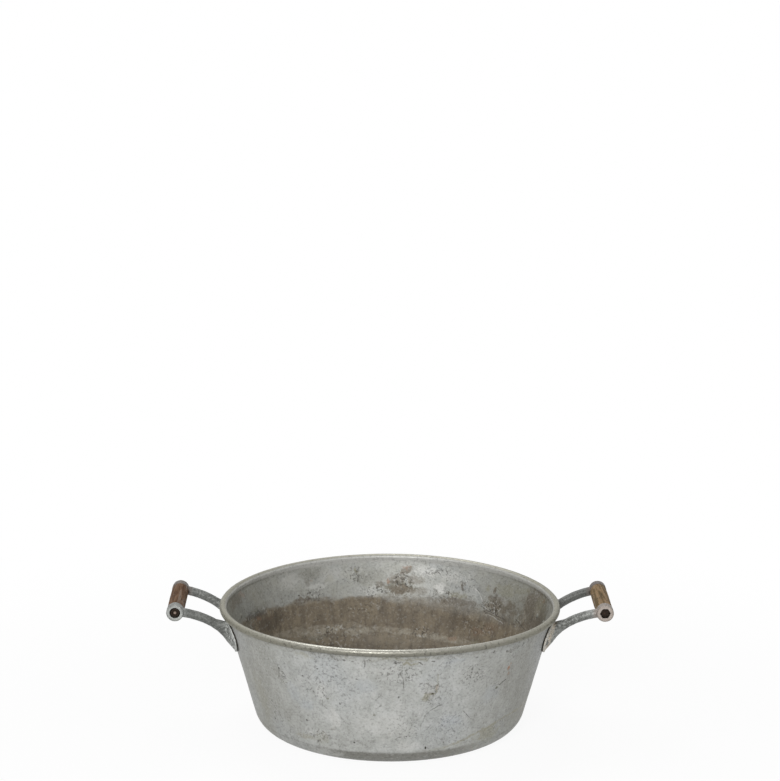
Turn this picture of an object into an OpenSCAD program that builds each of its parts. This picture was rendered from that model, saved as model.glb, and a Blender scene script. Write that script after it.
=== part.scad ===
// Round zinc wash basin with a wired rim and two cast handles.
// Each handle has two cast arms riveted under the rim and a wooden grip that turns on a tie bolt.
// Millimetres. The origin is the middle of the underside, +Z is up and the handles lie along +X and -X.

/* [Basin] */
// Outer diameter over the curled rim
rim_d = 450; // [400:5:520]
// Height from the underside to the top of the rim
basin_h = 168; // [145:1:200]
// Lean of the wall away from upright, in degrees
wall_lean = 15.75; // [10:0.25:20]
// Outer radius of the corner between the bottom and the wall
corner_r = 30; // [15:1:45]
// Thickness of the sheet
sheet = 1.5; // [1:0.1:2]

/* [Rim] */
// Diameter of the wire inside the curl
wire_d = 6; // [4:0.25:8]
// Clearance all round the wire
wire_play = 0.1; // [0.05:0.05:0.3]
// Drop from the middle of the curl to where the wall's slope would meet the upright neck
neck_drop = 5.5; // [4.5:0.5:9]
// Outer radius of the bend from the wall to the neck
neck_r = 12; // [6:1:16]
// Gap between the end of the curl and the neck
curl_gap = 0.3; // [0.2:0.1:0.6]

/* [Grips] */
// Distance from the outside of the rim to the axis of a grip
grip_reach = 55; // [45:1:70]
// Depth of a grip's axis below the top of the rim
grip_drop = 1; // [-4:1:6]
// Diameter of a wooden grip
grip_d = 22.4; // [18:0.2:26]
// Length of a wooden grip
grip_l = 90; // [75:1:110]
// Rounding of a grip's end edges
grip_edge = 1.6; // [0.5:0.1:3]
// Play between a grip's end and the eye beside it
end_play = 0.3; // [0.1:0.1:1]

/* [Arms] */
// Diameter of the eye at the end of an arm
eye_d = 22.6; // [20:0.2:28]
// Length of the eye along the grip's axis
eye_l = 13; // [12:0.5:18]
// Bevel on the eye's end edges
eye_bevel = 0.8; // [0.4:0.1:1.5]
// Gap left round a grip's end where the bar is faced off beside it
face_play = 1; // [0.5:0.1:2]
// Diameter of the arm's round bar
arm_d = 11.8; // [9:0.2:12]
// Radius of the curve that the bar follows
arm_r = 114; // [90:2:160]
// Downward slope with which the bar leaves the eye, in degrees
arm_start = 5; // [0:1:10]
// Angle through which the bar turns before its root, in degrees
arm_turn = 27; // [18:1:28]
// Angle by which the two arms close in towards the basin, in degrees
arm_toe = 7; // [2:1:10]

/* [Pads] */
// Width of the leaf-shaped pad
pad_w = 44; // [42:1:48]
// Radius of the pad's sides below its widest line
pad_side_r = 25; // [24:1:34]
// Thickness of the pad
pad_t = 3.4; // [2.5:0.1:5]
// Depth of the pad's widest line below the top of the rim
pad_drop = 33; // [33:1:42]
// Width of the rib that spreads from the bar over the pad
rib_w = 21; // [16:1:22]
// Radius of the rib's sides below its widest line
rib_side_r = 44; // [34:1:46]
// Amount by which the rib's root is wider than the bar
rib_step = 0.4; // [0.3:0.1:1]
// Centre line radius of the bar's last bend, where it turns down to the pad
root_r = 65; // [60:1:75]
// Angle of that last bend
root_turn = 28; // [20:1:30]
// Width of the web between the last bend and the pad's top
web_w = 14; // [10:1:16]
// Height of the rib's widest line above the pad's
rib_lift = 6; // [2:1:7]
// Clearance between the pad and the wall
seat_gap = 0.1; // [0.05:0.05:0.3]

/* [Rivets] */
// Diameter of a rivet's shank
rivet_d = 5; // [4:0.25:5.5]
// Clearance all round a rivet's shank
rivet_play = 0.1; // [0.05:0.05:0.2]
// Diameter of a rivet's heads
rivet_head_d = 7; // [6:0.25:8]
// Height of the head outside the pad
rivet_head_h = 2.2; // [1.5:0.1:3]
// Height of the head inside the basin
rivet_tail_h = 1.4; // [1:0.1:2]
// Distance of a pad's two rivets from its middle line
rivet_side = 15.5; // [15:0.25:17]
// Depth of the rivets below the pad's widest line
rivet_drop = 7; // [0:1:8]

/* [Tie bolts] */
// Diameter of the tie bolt's rod
rod_d = 7; // [6:0.25:8]
// Clearance all round the rod in the eyes and the grip
rod_play = 0.1; // [0.05:0.05:0.1]
// Width across the flats of the bolt's head and of the nut
hex_af = 11; // [10:0.25:11.5]
// Height of the bolt's head
head_h = 5; // [4:0.25:6]
// Height of the nut
nut_h = 5.5; // [4:0.25:6]
// Length of rod that stands out of the nut
rod_proud = 1; // [0.5:0.25:1.5]
// Clearance between the rod and the nut's bore
thread_play = 0.05; // [0.03:0.01:0.08]
// Width across the flats of the pocket that holds the bolt's head
pocket_af = 12; // [11.8:0.1:13]
// Diameter of the round pocket that holds the nut
pocket_d = 13.8; // [13.6:0.1:15]
// Depth of both pockets
pocket_depth = 8; // [7.5:0.25:9]

/* [Hidden] */
$fn = 96;

// Thickness of the thin slices between which the rib is stretched
slice = 0.2;
// Sides of the rib's slices
slice_fn = 40;
// Length by which a cut runs past the face that it starts from
past = 1;

// Rim: the curl lies tangent to the neck, with its own centre at (curl_x, curl_z)
bore_r = wire_d / 2 + wire_play;
curl_r = bore_r + sheet;
curl_x = rim_d / 2 - curl_r;
curl_z = basin_h - curl_r;
neck_x = curl_x - bore_r;
curl_end = acos((neck_x + curl_gap - curl_x) / curl_r);

// Wall: its outer line has the radius foot_x at the underside and leans by wall_lean
slope = tan(wall_lean);
meet_z = curl_z - neck_drop;
foot_x = neck_x - slope * meet_z;
corner_x = foot_x + corner_r * (slope - 1 / cos(wall_lean));
bend_x = neck_x - neck_r;
bend_z = meet_z + neck_r * tan(wall_lean / 2);
function wall_r(z) = foot_x + slope * z;

// Grip and eyes, seen from the middle of the grip
grip_x = rim_d / 2 + grip_reach;
grip_z = basin_h - grip_drop;
eye_in = grip_l / 2 + end_play;
eye_mid = eye_in + eye_l / 2;
eye_out = eye_in + eye_l;
seat_y = eye_out - pocket_depth;
rod_hole_d = rod_d + 2 * rod_play;

// Pad: where the plane of the arm meets the wall, at the height of the pad's widest line
pad_z = basin_h - pad_drop;
pad_r = wall_r(pad_z);
off_axis = grip_x * sin(arm_toe) - eye_mid * cos(arm_toe);
arm_run = grip_x * cos(arm_toe) + eye_mid * sin(arm_toe) - sqrt(pad_r * pad_r - off_axis * off_axis);
pad_az = atan2(eye_mid - arm_run * sin(arm_toe), grip_x - arm_run * cos(arm_toe));
pad_face = seat_gap + pad_t;

rivet_hole_d = rivet_d + 2 * rivet_play;
// Slack under a rivet's heads, so that their flat faces clear the curve of the wall
head_slack = 0.06;

// Part of a flat ring between two angles, turning anticlockwise
module ring_part(r_in, r_out, from, to) {
    reach = 2 * r_out;
    steps = 4;
    fan = [for (i = [0 : steps]) let (a = from + (to - from) * i / steps) [reach * cos(a), reach * sin(a)]];
    intersection() {
        difference() {
            circle(r_out);
            circle(r_in);
        }
        polygon(concat([[0, 0]], fan));
    }
}

// Half section of the basin: bottom, corner, wall, bend, neck and curl
module shell_section() {
    square([corner_x, sheet]);
    translate([corner_x, corner_r]) ring_part(corner_r - sheet, corner_r, -90, -wall_lean);
    n = [cos(wall_lean), -sin(wall_lean)];
    low = [corner_x, corner_r];
    high = [bend_x, bend_z];
    polygon([
        low + n * (corner_r - sheet), low + n * corner_r,
        high + n * neck_r, high + n * (neck_r - sheet)
    ]);
    translate([bend_x, bend_z]) ring_part(neck_r - sheet, neck_r, -wall_lean, 0);
    translate([neck_x - sheet, bend_z]) square([sheet, curl_z - bend_z]);
    translate([curl_x, curl_z]) ring_part(bore_r, curl_r, 0, 180);
    translate([curl_x, curl_z]) ring_part(bore_r, curl_r, -curl_end, 0);
}

// Puts its children on the outside of the wall: x round the wall, y up its slope and z outwards
module on_wall(az, z) {
    rotate([0, 0, az])
        translate([wall_r(z), 0, z])
            rotate([0, wall_lean, 0])
                rotate([90, 0, 90]) children();
}

// Puts its children at both rivets of the pad, with z outwards from the wall
module at_rivets() {
    for (side = [-1, 1])
        on_wall(pad_az + side * rivet_side / pad_r * 180 / PI, pad_z - rivet_drop * cos(wall_lean)) children();
}

// Puts its children on the front or rear arm of the right or left handle
module handle_side(right, front) {
    rotate([0, 0, right ? 0 : 180])
        mirror([0, (right == front) ? 1 : 0, 0]) children();
}

// Leaf outline: a half circle above the widest line and two long arcs that meet in a point below it
module leaf(w, side_r) {
    intersection() {
        circle(d = w);
        translate([-w, 0]) square(2 * w);
    }
    intersection() {
        translate([w / 2 - side_r, 0]) circle(side_r);
        translate([side_r - w / 2, 0]) circle(side_r);
        translate([-w, -2 * side_r]) square([2 * w, 2 * side_r]);
    }
}

// Layer over the wall's outside, between two distances from it
module wall_layer(near, far) {
    low = pad_z - 2 * pad_side_r;
    high = curl_z;
    a = near / cos(wall_lean);
    b = far / cos(wall_lean);
    rotate_extrude()
        polygon([
            [wall_r(low) + a, low], [wall_r(low) + b, low],
            [wall_r(high) + b, high], [wall_r(high) + a, high]
        ]);
}

// Puts its children at the eye, with x towards the basin along the arm and z up
module at_eye() {
    translate([grip_x, eye_mid, grip_z]) rotate([0, 0, 180 + arm_toe]) children();
}

// Puts its children on the plane of the bar's curve, turned to the slope that the bar has reached
module on_bar(turned) {
    translate([-arm_r * sin(arm_start), 0, -arm_r * cos(arm_start)])
        rotate([90, 0, 0])
            rotate([0, 0, 90 - arm_start - turned]) children();
}

// Round bar that curves down from the eye
module bar() {
    at_eye() on_bar(arm_turn) rotate_extrude(angle = arm_turn) translate([arm_r, 0]) circle(d = arm_d);
}

// Puts its children where the bar's last bend has turned so far, with y along the bar
module on_root(turned) {
    at_eye() on_bar(arm_turn) translate([arm_r - root_r, 0, 0])
        rotate([0, 0, -turned]) translate([root_r, 0, 0]) children();
}

// Thin slice across the bar's last bend
module root_slice(turned) {
    on_root(turned) rotate([90, 0, 0])
        cylinder(d = arm_d + rib_step, h = slice, center = true, $fn = slice_fn);
}

// Last bend of the bar, with the web between its top and the pad's top
module root() {
    step = root_turn / 3;
    for (i = [0 : 2])
        hull() {
            root_slice(i * step);
            root_slice((i + 1) * step);
            on_wall(pad_az, pad_z) linear_extrude(pad_face + slice)
                translate([0, rib_lift + (rib_w - web_w) / 2 - rib_step]) circle(d = web_w, $fn = slice_fn);
        }
}

// Rib that spreads from the end of the bend over the pad
module rib() {
    hull() {
        root_slice(root_turn);
        on_wall(pad_az, pad_z) linear_extrude(pad_face + slice)
            translate([0, rib_lift]) leaf(rib_w, rib_side_r, $fn = slice_fn);
    }
}

// Leaf-shaped plate that follows the wall
module pad() {
    intersection() {
        wall_layer(seat_gap, pad_face);
        on_wall(pad_az, pad_z) linear_extrude(4 * pad_face, center = true) leaf(pad_w, pad_side_r);
    }
}

// Short tube that holds one end of the tie bolt
module eye() {
    r = eye_d / 2;
    translate([grip_x, eye_in, grip_z]) rotate([-90, 0, 0])
        rotate_extrude()
            polygon([
                [0, 0], [r - eye_bevel, 0], [r, eye_bevel],
                [r, eye_l - eye_bevel], [r - eye_bevel, eye_l], [0, eye_l]
            ]);
}

// Bore through the eye, with a six-sided pocket for the bolt's head or a round one for the nut
module eye_hollow(six_sided) {
    translate([grip_x, 0, grip_z]) rotate([-90, 0, 0]) {
        cylinder(d = grip_d + 2 * face_play, h = eye_in);
        cylinder(d = rod_hole_d, h = eye_out + past);
        translate([0, 0, seat_y])
            if (six_sided) cylinder(d = pocket_af / cos(30), h = pocket_depth + past, $fn = 6);
            else cylinder(d = pocket_d, h = pocket_depth + past);
    }
}

// One cast arm of the right handle's rear side
module arm(six_sided) {
    difference() {
        union() {
            eye();
            difference() {
                union() {
                    bar();
                    root();
                    rib();
                }
                wall_layer(-2 * arm_d, pad_face - slice);
            }
            pad();
        }
        eye_hollow(six_sided);
        at_rivets() cylinder(d = rivet_hole_d, h = 2 * pad_face);
    }
}

// Domed head with its flat face on z = 0
module dome(d, h) {
    r = (d * d / 4 + h * h) / (2 * h);
    rotate_extrude()
        intersection() {
            translate([0, h - r]) circle(r);
            square([d, h]);
        }
}

// One rivet, with z = 0 on the outside of the wall
module rivet() {
    out = pad_face + head_slack;
    in = sheet + head_slack;
    translate([0, 0, -in]) cylinder(d = rivet_d, h = in + out);
    translate([0, 0, out]) dome(rivet_head_d, rivet_head_h);
    translate([0, 0, -in]) mirror([0, 0, 1]) dome(rivet_head_d, rivet_tail_h);
}

// Six-sided block with bevelled corners at both ends
module hex_block(h) {
    bevel = (hex_af / cos(30) - hex_af) / 2;
    drop = bevel * tan(30);
    r = hex_af / cos(30) / 2;
    intersection() {
        cylinder(d = hex_af / cos(30), h = h, $fn = 6);
        rotate_extrude()
            polygon([[0, 0], [r - bevel, 0], [r, drop], [r, h - drop], [r - bevel, h], [0, h]]);
    }
}

module basin_shell() {
    color([0.60, 0.61, 0.59])
        difference() {
            rotate_extrude() shell_section();
            for (right = [false, true], front = [false, true])
                handle_side(right, front) at_rivets()
                    translate([0, 0, -4 * sheet]) cylinder(d = rivet_hole_d, h = 8 * sheet);
        }
}

module rim_wire() {
    color([0.45, 0.45, 0.44])
        rotate_extrude() translate([curl_x, curl_z]) circle(d = wire_d);
}

// The left handle is the right one turned half round, so its bolt's head lies at the rear
module cast_arm(right, front) {
    color([0.52, 0.53, 0.52]) handle_side(right, front) arm(right == front);
}

module rivet_set(right, front) {
    color([0.55, 0.55, 0.53]) handle_side(right, front) at_rivets() rivet();
}

// Wooden grip with rounded end edges and a bore for the tie bolt
module grip(right) {
    bore = rod_hole_d / 2;
    r = grip_d / 2;
    mid = r - grip_edge;
    color([0.45, 0.34, 0.25])
        handle_side(right, right) translate([grip_x, 0, grip_z]) rotate([90, 0, 0])
            rotate_extrude() {
                translate([bore, -grip_l / 2]) square([mid - bore, grip_l]);
                translate([bore, grip_edge - grip_l / 2]) square([r - bore, grip_l - 2 * grip_edge]);
                for (end = [-1, 1])
                    translate([mid, end * (grip_l / 2 - grip_edge)]) circle(grip_edge);
            }
}

module tie_bolt(right) {
    color([0.40, 0.38, 0.35])
        rotate([0, 0, right ? 0 : 180]) translate([grip_x, -seat_y, grip_z]) rotate([-90, 0, 0]) {
            cylinder(d = rod_d, h = 2 * seat_y + nut_h + rod_proud);
            mirror([0, 0, 1]) hex_block(head_h);
        }
}

module tie_nut(right) {
    color([0.40, 0.38, 0.35])
        rotate([0, 0, right ? 0 : 180]) translate([grip_x, seat_y, grip_z]) rotate([-90, 0, 0])
            difference() {
                hex_block(nut_h);
                translate([0, 0, -past]) cylinder(d = rod_d + 2 * thread_play, h = nut_h + 2 * past);
            }
}

basin_shell();
rim_wire();
cast_arm(false, true);  // left_front_arm
cast_arm(false, false);  // left_rear_arm
cast_arm(true, true);  // right_front_arm
cast_arm(true, false);  // right_rear_arm
rivet_set(false, true);  // left_front_rivets
rivet_set(false, false);  // left_rear_rivets
rivet_set(true, true);  // right_front_rivets
rivet_set(true, false);  // right_rear_rivets
grip(false);  // left_grip
grip(true);  // right_grip
tie_bolt(false);  // left_tie_bolt
tie_bolt(true);  // right_tie_bolt
tie_nut(false);  // left_tie_nut
tie_nut(true);  // right_tie_nut
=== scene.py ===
"""Worn zinc wash basin with two cast handles and wooden grips: its looks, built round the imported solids."""

import inspect
import math

import bmesh
import bpy
from mathutils import Matrix, Vector


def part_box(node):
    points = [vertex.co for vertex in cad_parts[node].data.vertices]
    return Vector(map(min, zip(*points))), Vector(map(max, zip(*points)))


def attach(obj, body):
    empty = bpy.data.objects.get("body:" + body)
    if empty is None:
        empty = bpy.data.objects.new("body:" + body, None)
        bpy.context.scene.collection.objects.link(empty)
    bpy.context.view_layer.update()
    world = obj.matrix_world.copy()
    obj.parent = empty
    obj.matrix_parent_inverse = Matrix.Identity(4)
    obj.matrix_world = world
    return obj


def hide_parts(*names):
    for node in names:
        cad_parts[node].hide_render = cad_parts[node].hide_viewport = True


bl_info = {
    "name": "Zinc wash basin",
    "version": (1, 0, 0),
    "blender": (4, 5, 0),
    "location": "3D View > Sidebar > Wash basin",
    "description": "Builds a worn zinc wash basin with cast arms and turned wooden grips",
    "category": "Object",
}

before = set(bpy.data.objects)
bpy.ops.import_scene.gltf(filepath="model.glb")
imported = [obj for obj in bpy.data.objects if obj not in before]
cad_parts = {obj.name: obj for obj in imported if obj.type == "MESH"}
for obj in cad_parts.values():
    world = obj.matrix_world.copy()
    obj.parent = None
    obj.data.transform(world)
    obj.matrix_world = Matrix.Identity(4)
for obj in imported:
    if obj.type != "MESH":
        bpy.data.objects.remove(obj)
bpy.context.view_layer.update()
MM = 0.001

SHELL_LOW, SHELL_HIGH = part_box("basin_shell")
WIRE_LOW, WIRE_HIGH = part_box("rim_wire")
GRIP_LOW, GRIP_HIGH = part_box("right_grip")
BOLT_LOW, BOLT_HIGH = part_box("right_tie_bolt")
NUT_LOW, NUT_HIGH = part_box("right_tie_nut")

GRIP_MIDDLE = (GRIP_LOW + GRIP_HIGH) / 2
# Distance from the axis to a flat of the nuts and bolt heads
FLAT = (NUT_HIGH.x - NUT_LOW.x) / 2 * math.cos(math.radians(30))
CORNERS = [(side, end) for side in ("left", "right") for end in ("front", "rear")]
# Radius on which an azimuth becomes a length where the wall is laid flat for its marks and dents
WALL_ARC = 0.2
# Vertices closer than this are joined
WELD = 0.002 * MM
# Edges of nuts and bolts with a larger angle stay sharp
SHARP = math.radians(35)
# Half width in mm from which a patch counts as broad and has a torn edge
BROAD = 4.5


def srgb(red, green, blue):
    """A colour given as it looks on a screen, 0 to 255, as Blender's linear numbers."""
    parts = [c / 255 for c in (red, green, blue)]
    return tuple(c / 12.92 if c <= 0.04045 else ((c + 0.055) / 1.055) ** 2.4 for c in parts)


def metres(name, description, default):
    """A size in metres."""
    return bpy.props.FloatProperty(
        name=name, description=description, default=default, unit="LENGTH", precision=5)


def tint(name, description, *rgb):
    """A colour with three channels, its default given as srgb() takes it."""
    return bpy.props.FloatVectorProperty(
        name=name, description=description, default=srgb(*rgb), subtype="COLOR", size=3, min=0.0, max=1.0)


class BASIN_PG_sheet(bpy.types.PropertyGroup):
    """Sizes of the zinc sheet and its rim."""

    rim_radius: metres("Rim radius", "Outermost radius of the curled rim", SHELL_HIGH.x)
    height: metres("Height", "Top of the rim above the floor", SHELL_HIGH.z)
    thickness: metres("Sheet thickness", "Thickness of the zinc sheet", 1.5 * MM)
    lean: bpy.props.FloatProperty(
        name="Wall lean", description="Angle between the wall and the upright", default=math.radians(15.75),
        unit="ROTATION")
    corner_radius: metres("Corner radius", "Outer radius between bottom and wall", 30 * MM)
    neck_radius: metres("Neck bend", "Outer radius of the bend below the rim", 12 * MM)
    neck_drop: metres("Neck drop", "Depth below the curl's middle where wall and neck would meet", 5.5 * MM)
    wire_radius: metres("Wire radius", "Radius of the wire in the rim", (WIRE_HIGH.z - WIRE_LOW.z) / 2)
    wire_play: metres("Wire play", "Gap between the wire and the curl", 0.1 * MM)
    curl_gap: metres("Curl gap", "Gap between the curl's end and the neck", 0.3 * MM)
    steps: bpy.props.IntProperty(name="Steps round", description="Faces round the basin", default=384, min=48)
    warp: metres("Rim warp", "How far the rim lies low at the handles and high between them", 1.72 * MM)
    warp_low: metres("Warp from", "Height at which the warp fades in", 135 * MM)
    warp_high: metres("Warp to", "Height above which the warp is full", 163 * MM)
    wave: metres("Wall waves", "Depth of the hand-made unevenness of the wall", 0.7 * MM)
    bead_wave: metres("Bead waves", "Unevenness of the curled bead", 0.35 * MM)
    seed: bpy.props.IntProperty(name="Seed", description="Seed of the unevenness", default=7)


class BASIN_PG_handles(bpy.types.PropertyGroup):
    """Sizes of the handles' pieces."""

    grain_depth: metres("Grain depth", "Depth of the weathered grain of the grips", 0.22 * MM)
    chip_depth: metres("Chip depth", "Depth of the chips and dents in the wood", 0.55 * MM)
    barrel: metres("Barrel", "How much thinner a grip is at its ends", 0.35 * MM)
    cast_voxel: metres("Casting mesh", "Size of the faces that a casting is made of", 0.6 * MM)
    cast_soften: bpy.props.IntProperty(
        name="Casting softness", description="Rounds of smoothing that wear a casting's edges",
        default=5, min=0)
    cast_rough: metres("Casting roughness", "Depth of the sand texture", 0.16 * MM)
    cast_lumps: metres("Casting lumps", "Depth of the larger unevenness", 0.3 * MM)
    pad_more: metres("Fuller pads", "How far a pad's outline is spread sideways along the wall", 6 * MM)
    pad_top: metres("Pad top", "Height off the wall below which a casting counts as pad", 3.9 * MM)
    pad_rise: metres("Pad rise", "Height of a pad's middle above its rivets", 6.7 * MM)
    rivet_radius: metres("Rivet head radius", "Radius of a rivet's hammered heads", 3.5 * MM)
    rivet_dents: metres("Hammer marks", "Depth of the hammer marks on a rivet's head", 0.25 * MM)
    thread_pitch: metres("Thread pitch", "Distance between the tie bolt's threads", 1.0 * MM)
    thread_depth: metres("Thread depth", "Depth of the tie bolt's threads", 0.35 * MM)
    seed: bpy.props.IntProperty(name="Seed", description="Seed of the wear", default=3)


class BASIN_PG_colours(bpy.types.PropertyGroup):
    """Colours of the finishes."""

    zinc: tint("Zinc", "Plain dull zinc", 180, 182, 180)
    # Also painted light on the inner neck and a painted sheen on the outer wall
    zinc_pale: tint("Pale zinc", "Brighter scuffed zinc", 206, 206, 202)
    zinc_blue: tint("Bluish zinc", "Cool patches", 168, 173, 177)
    zinc_dark: tint("Dark zinc", "Dull shaded patches and the bottom's edge", 128, 127, 117)
    zinc_olive: tint("Olive zinc", "Yellowish grime that follows the bottom", 143, 140, 119)
    # Painted shade that darkens the wall towards its left and right flanks
    flank: tint("Flanks", "Handled zinc towards the handles", 128, 127, 117)
    # Partly painted shade and partly dirt below the crease round the bottom
    crease: tint("Bottom edge", "Dirt below the crease round the bottom", 92, 90, 80)
    stain: tint("Water stain", "Brown band inside", 99, 88, 72)
    stain_light: tint("Light water stain", "Paler parts of the brown band", 134, 122, 102)
    deposit: tint("Deposit", "Pale scale along the water lines", 168, 162, 148)
    rust: tint("Rust", "Orange rust spots", 156, 114, 86)
    # Also painted shadow in the pad's gap, round the rivets, in the eye pockets and along the bead's far edge
    grime: tint("Grime", "Black-brown dirt in pits and gaps", 44, 38, 30)
    # The bead's lit top and shaded lower half: painted highlight and painted shade, partly worn metal
    bead: tint("Rim bead", "Worn bright metal on top of the rim", 162, 160, 150)
    bead_dark: tint("Rim bead, below", "Dull warm metal on the rim's lower half", 120, 118, 106)
    cast: tint("Casting", "Grey casting", 138, 140, 136)
    cast_dark: tint("Dark casting", "Hollows of the casting", 74, 75, 72)
    cast_warm: tint("Warm casting", "Brownish pads", 206, 194, 176)
    # Also the colour of the painted glint on the rod's end in the left front eye
    eye_front: tint("Front eye", "Rosy worn ring of the right front eye", 172, 154, 142)
    eye_rear: tint("Rear eyes", "Dull mauve grey of the rear eyes", 112, 99, 92)
    # Also a painted highlight on the front eyes and on the pad's edge
    cast_bright: tint("Bright casting", "Worn tips of the casting", 205, 207, 203)
    wood_left: tint("Left wood", "Reddish brown wood", 102, 72, 43)
    wood_left_dark: tint("Left wood, dark", "Dark grain and chips", 66, 44, 30)
    wood_right: tint("Right wood", "Tan wood", 142, 116, 82)
    wood_right_dark: tint("Right wood, dark", "Dark olive grain and holes", 76, 66, 44)
    wood_grey: tint("Grey wood", "Weathered silver streaks", 142, 132, 122)
    # Its darkness is partly rust and partly painted shade of the deep eye pockets
    steel: tint("Steel", "Dark rusted steel", 36, 27, 21)
    steel_bright: tint("Bright steel", "Metal that still shines", 150, 138, 130)
    floor: tint("Floor", "Plain pale floor", 245, 245, 245)


class Signal:
    """One output of a node. A sum, difference, product or quotient of signals is a Math node."""

    def __init__(self, wires, socket):
        self.wires, self.socket = wires, socket

    def __add__(self, other):
        return self.wires.math("ADD", self, other)

    def __radd__(self, other):
        return self.wires.math("ADD", other, self)

    def __sub__(self, other):
        return self.wires.math("SUBTRACT", self, other)

    def __rsub__(self, other):
        return self.wires.math("SUBTRACT", other, self)

    def __mul__(self, other):
        return self.wires.math("MULTIPLY", self, other)

    def __truediv__(self, other):
        return self.wires.math("DIVIDE", self, other)

    def __mod__(self, other):
        return self.wires.math("FLOORED_MODULO", self, other)

    def __pow__(self, other):
        return self.wires.math("POWER", self, other)

    def __abs__(self):
        return self.wires.math("ABSOLUTE", self)

    def ramp(self, low, high, to_low=0.0, to_high=1.0):
        """Smooth step of the signal between two limits."""
        return self.wires.out(
            "ShaderNodeMapRange", pick="Result", Value=self, From_Min=low, From_Max=high, To_Min=to_low,
            To_Max=to_high, interpolation_type="SMOOTHSTEP", clamp=False)

    def mix(self, share, cover):
        """This colour with a share of another laid over it."""
        return self.wires.mix(share, self, cover)


class Wiring:
    """Adds nodes to a tree. Every input may be given a signal or socket to join, or a plain value."""

    def __init__(self, tree):
        self.tree = tree

    def node(self, kind, *values, **named):
        """A new node. Values go to its inputs in order, names with a capital to the input so called, with _
        for a space, and the other names are the node's own settings."""
        made = self.tree.nodes.new(kind)
        for name, value in named.items():
            if not name[0].isupper():
                setattr(made, name, value)
        for place, value in enumerate(values):
            self.feed(made.inputs[place], value)
        self.fill(made, **{name: value for name, value in named.items() if name[0].isupper()})
        return made

    def fill(self, node, **named):
        """Feeds a node's inputs by their names, with _ for a space."""
        for name, value in named.items():
            self.feed(node.inputs[name.replace("_", " ")], value)

    def feed(self, socket, value):
        value = value.socket if isinstance(value, Signal) else value
        if isinstance(value, bpy.types.NodeSocket):
            self.tree.links.new(value, socket)
        else:
            socket.default_value = value

    def out(self, kind, *values, pick=0, **named):
        """The first output of a new node, or the one that is picked."""
        return Signal(self, self.node(kind, *values, **named).outputs[pick])

    def outs(self, kind, *values, **named):
        """All outputs of a new node, in their order."""
        return [Signal(self, socket) for socket in self.node(kind, *values, **named).outputs]

    def use(self, name, **named):
        """The output of a node group, given by its name, or all of them in a list where it has more."""
        tree = tree_called(name)
        kind = "GeometryNodeGroup" if tree.bl_idname == GEOMETRY else "ShaderNodeGroup"
        made = self.outs(kind, node_tree=tree, **named)
        return made[0] if len(made) == 1 else made

    def math(self, operation, a, b=0.0, c=0.0):
        return self.out("ShaderNodeMath", a, b, c, operation=operation)

    def most(self, first, *others):
        """The highest of some signals."""
        for other in others:
            first = self.math("MAXIMUM", first, other)
        return first

    def length(self, *parts):
        """Length of a vector given by its parts."""
        return self.vector("LENGTH", self.combine(*parts))

    def pushed(self, geometry, way, amount):
        """Geometry moved along a vector."""
        offset = self.vector("SCALE", way, amount)
        return self.out("GeometryNodeSetPosition", Geometry=geometry, Offset=offset)

    def vector(self, operation, a, b=(0.0, 0.0, 0.0)):
        made = self.node("ShaderNodeVectorMath", a, operation=operation)
        self.feed(made.inputs["Scale" if operation == "SCALE" else 1], b)
        number = operation in ("LENGTH", "DISTANCE", "DOT_PRODUCT")
        return Signal(self, made.outputs["Value" if number else "Vector"])

    def combine(self, x=0.0, y=0.0, z=0.0):
        return self.out("ShaderNodeCombineXYZ", x, y, z)

    def separate(self, vector):
        return self.outs("ShaderNodeSeparateXYZ", vector)

    def noise(self, at, scale, detail=2.0, roughness=0.5, seed=0.0, distortion=0.0):
        """A noise's number and its colour."""
        return self.outs("ShaderNodeTexNoise", Vector=at, W=seed, Scale=scale, Detail=detail,
            Roughness=roughness, Distortion=distortion, noise_dimensions="4D")

    def mix(self, share, a, b):
        """Colour a with a share of colour b laid over it."""
        made = self.node("ShaderNodeMix", share, data_type="RGBA", clamp_factor=True)
        for place, value in ((6, a), (7, b)):
            self.feed(made.inputs[place], value if isinstance(value, Signal) else (*value, 1.0))
        return Signal(self, made.outputs[2])


GEOMETRY, SHADER = "GeometryNodeTree", "ShaderNodeTree"
SOCKETS = {int: "Int", float: "Float", tuple: "Vector"}
BUILDERS = {}


def node_tree(name, kind, *outputs):
    """Keeps a function as the builder of a node group. Its parameters after the first are the group's inputs,
    with a default or the name of a socket type. It gives geometry, or else a number for each output named."""
    def keep(build):
        BUILDERS[name] = (build, kind, outputs)
        return build
    return keep


def tree_called(name):
    """A node group by its name, built on first use."""
    if name in bpy.data.node_groups:
        return bpy.data.node_groups[name]
    build, kind, outputs = BUILDERS[name]
    tree = bpy.data.node_groups.new(name, kind)
    inputs = list(inspect.signature(build).parameters.values())[1:]
    for wanted in inputs:
        named = isinstance(wanted.default, str)
        form = wanted.default if named else SOCKETS[type(wanted.default)]
        made = tree.interface.new_socket(
            name=wanted.name.replace("_", " ").capitalize(), in_out="INPUT", socket_type="NodeSocket" + form)
        if not named:
            made.default_value = wanted.default
    for label in outputs or ("Geometry",):
        tree.interface.new_socket(
            name=label, in_out="OUTPUT", socket_type="NodeSocketFloat" if outputs else "NodeSocketGeometry")
    wires = Wiring(tree)
    made = build(wires, *wires.outs("NodeGroupInput")[:len(inputs)])
    wires.node("NodeGroupOutput", *(made if isinstance(made, tuple) else (made,)))
    return tree


# Geometry trees


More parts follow.
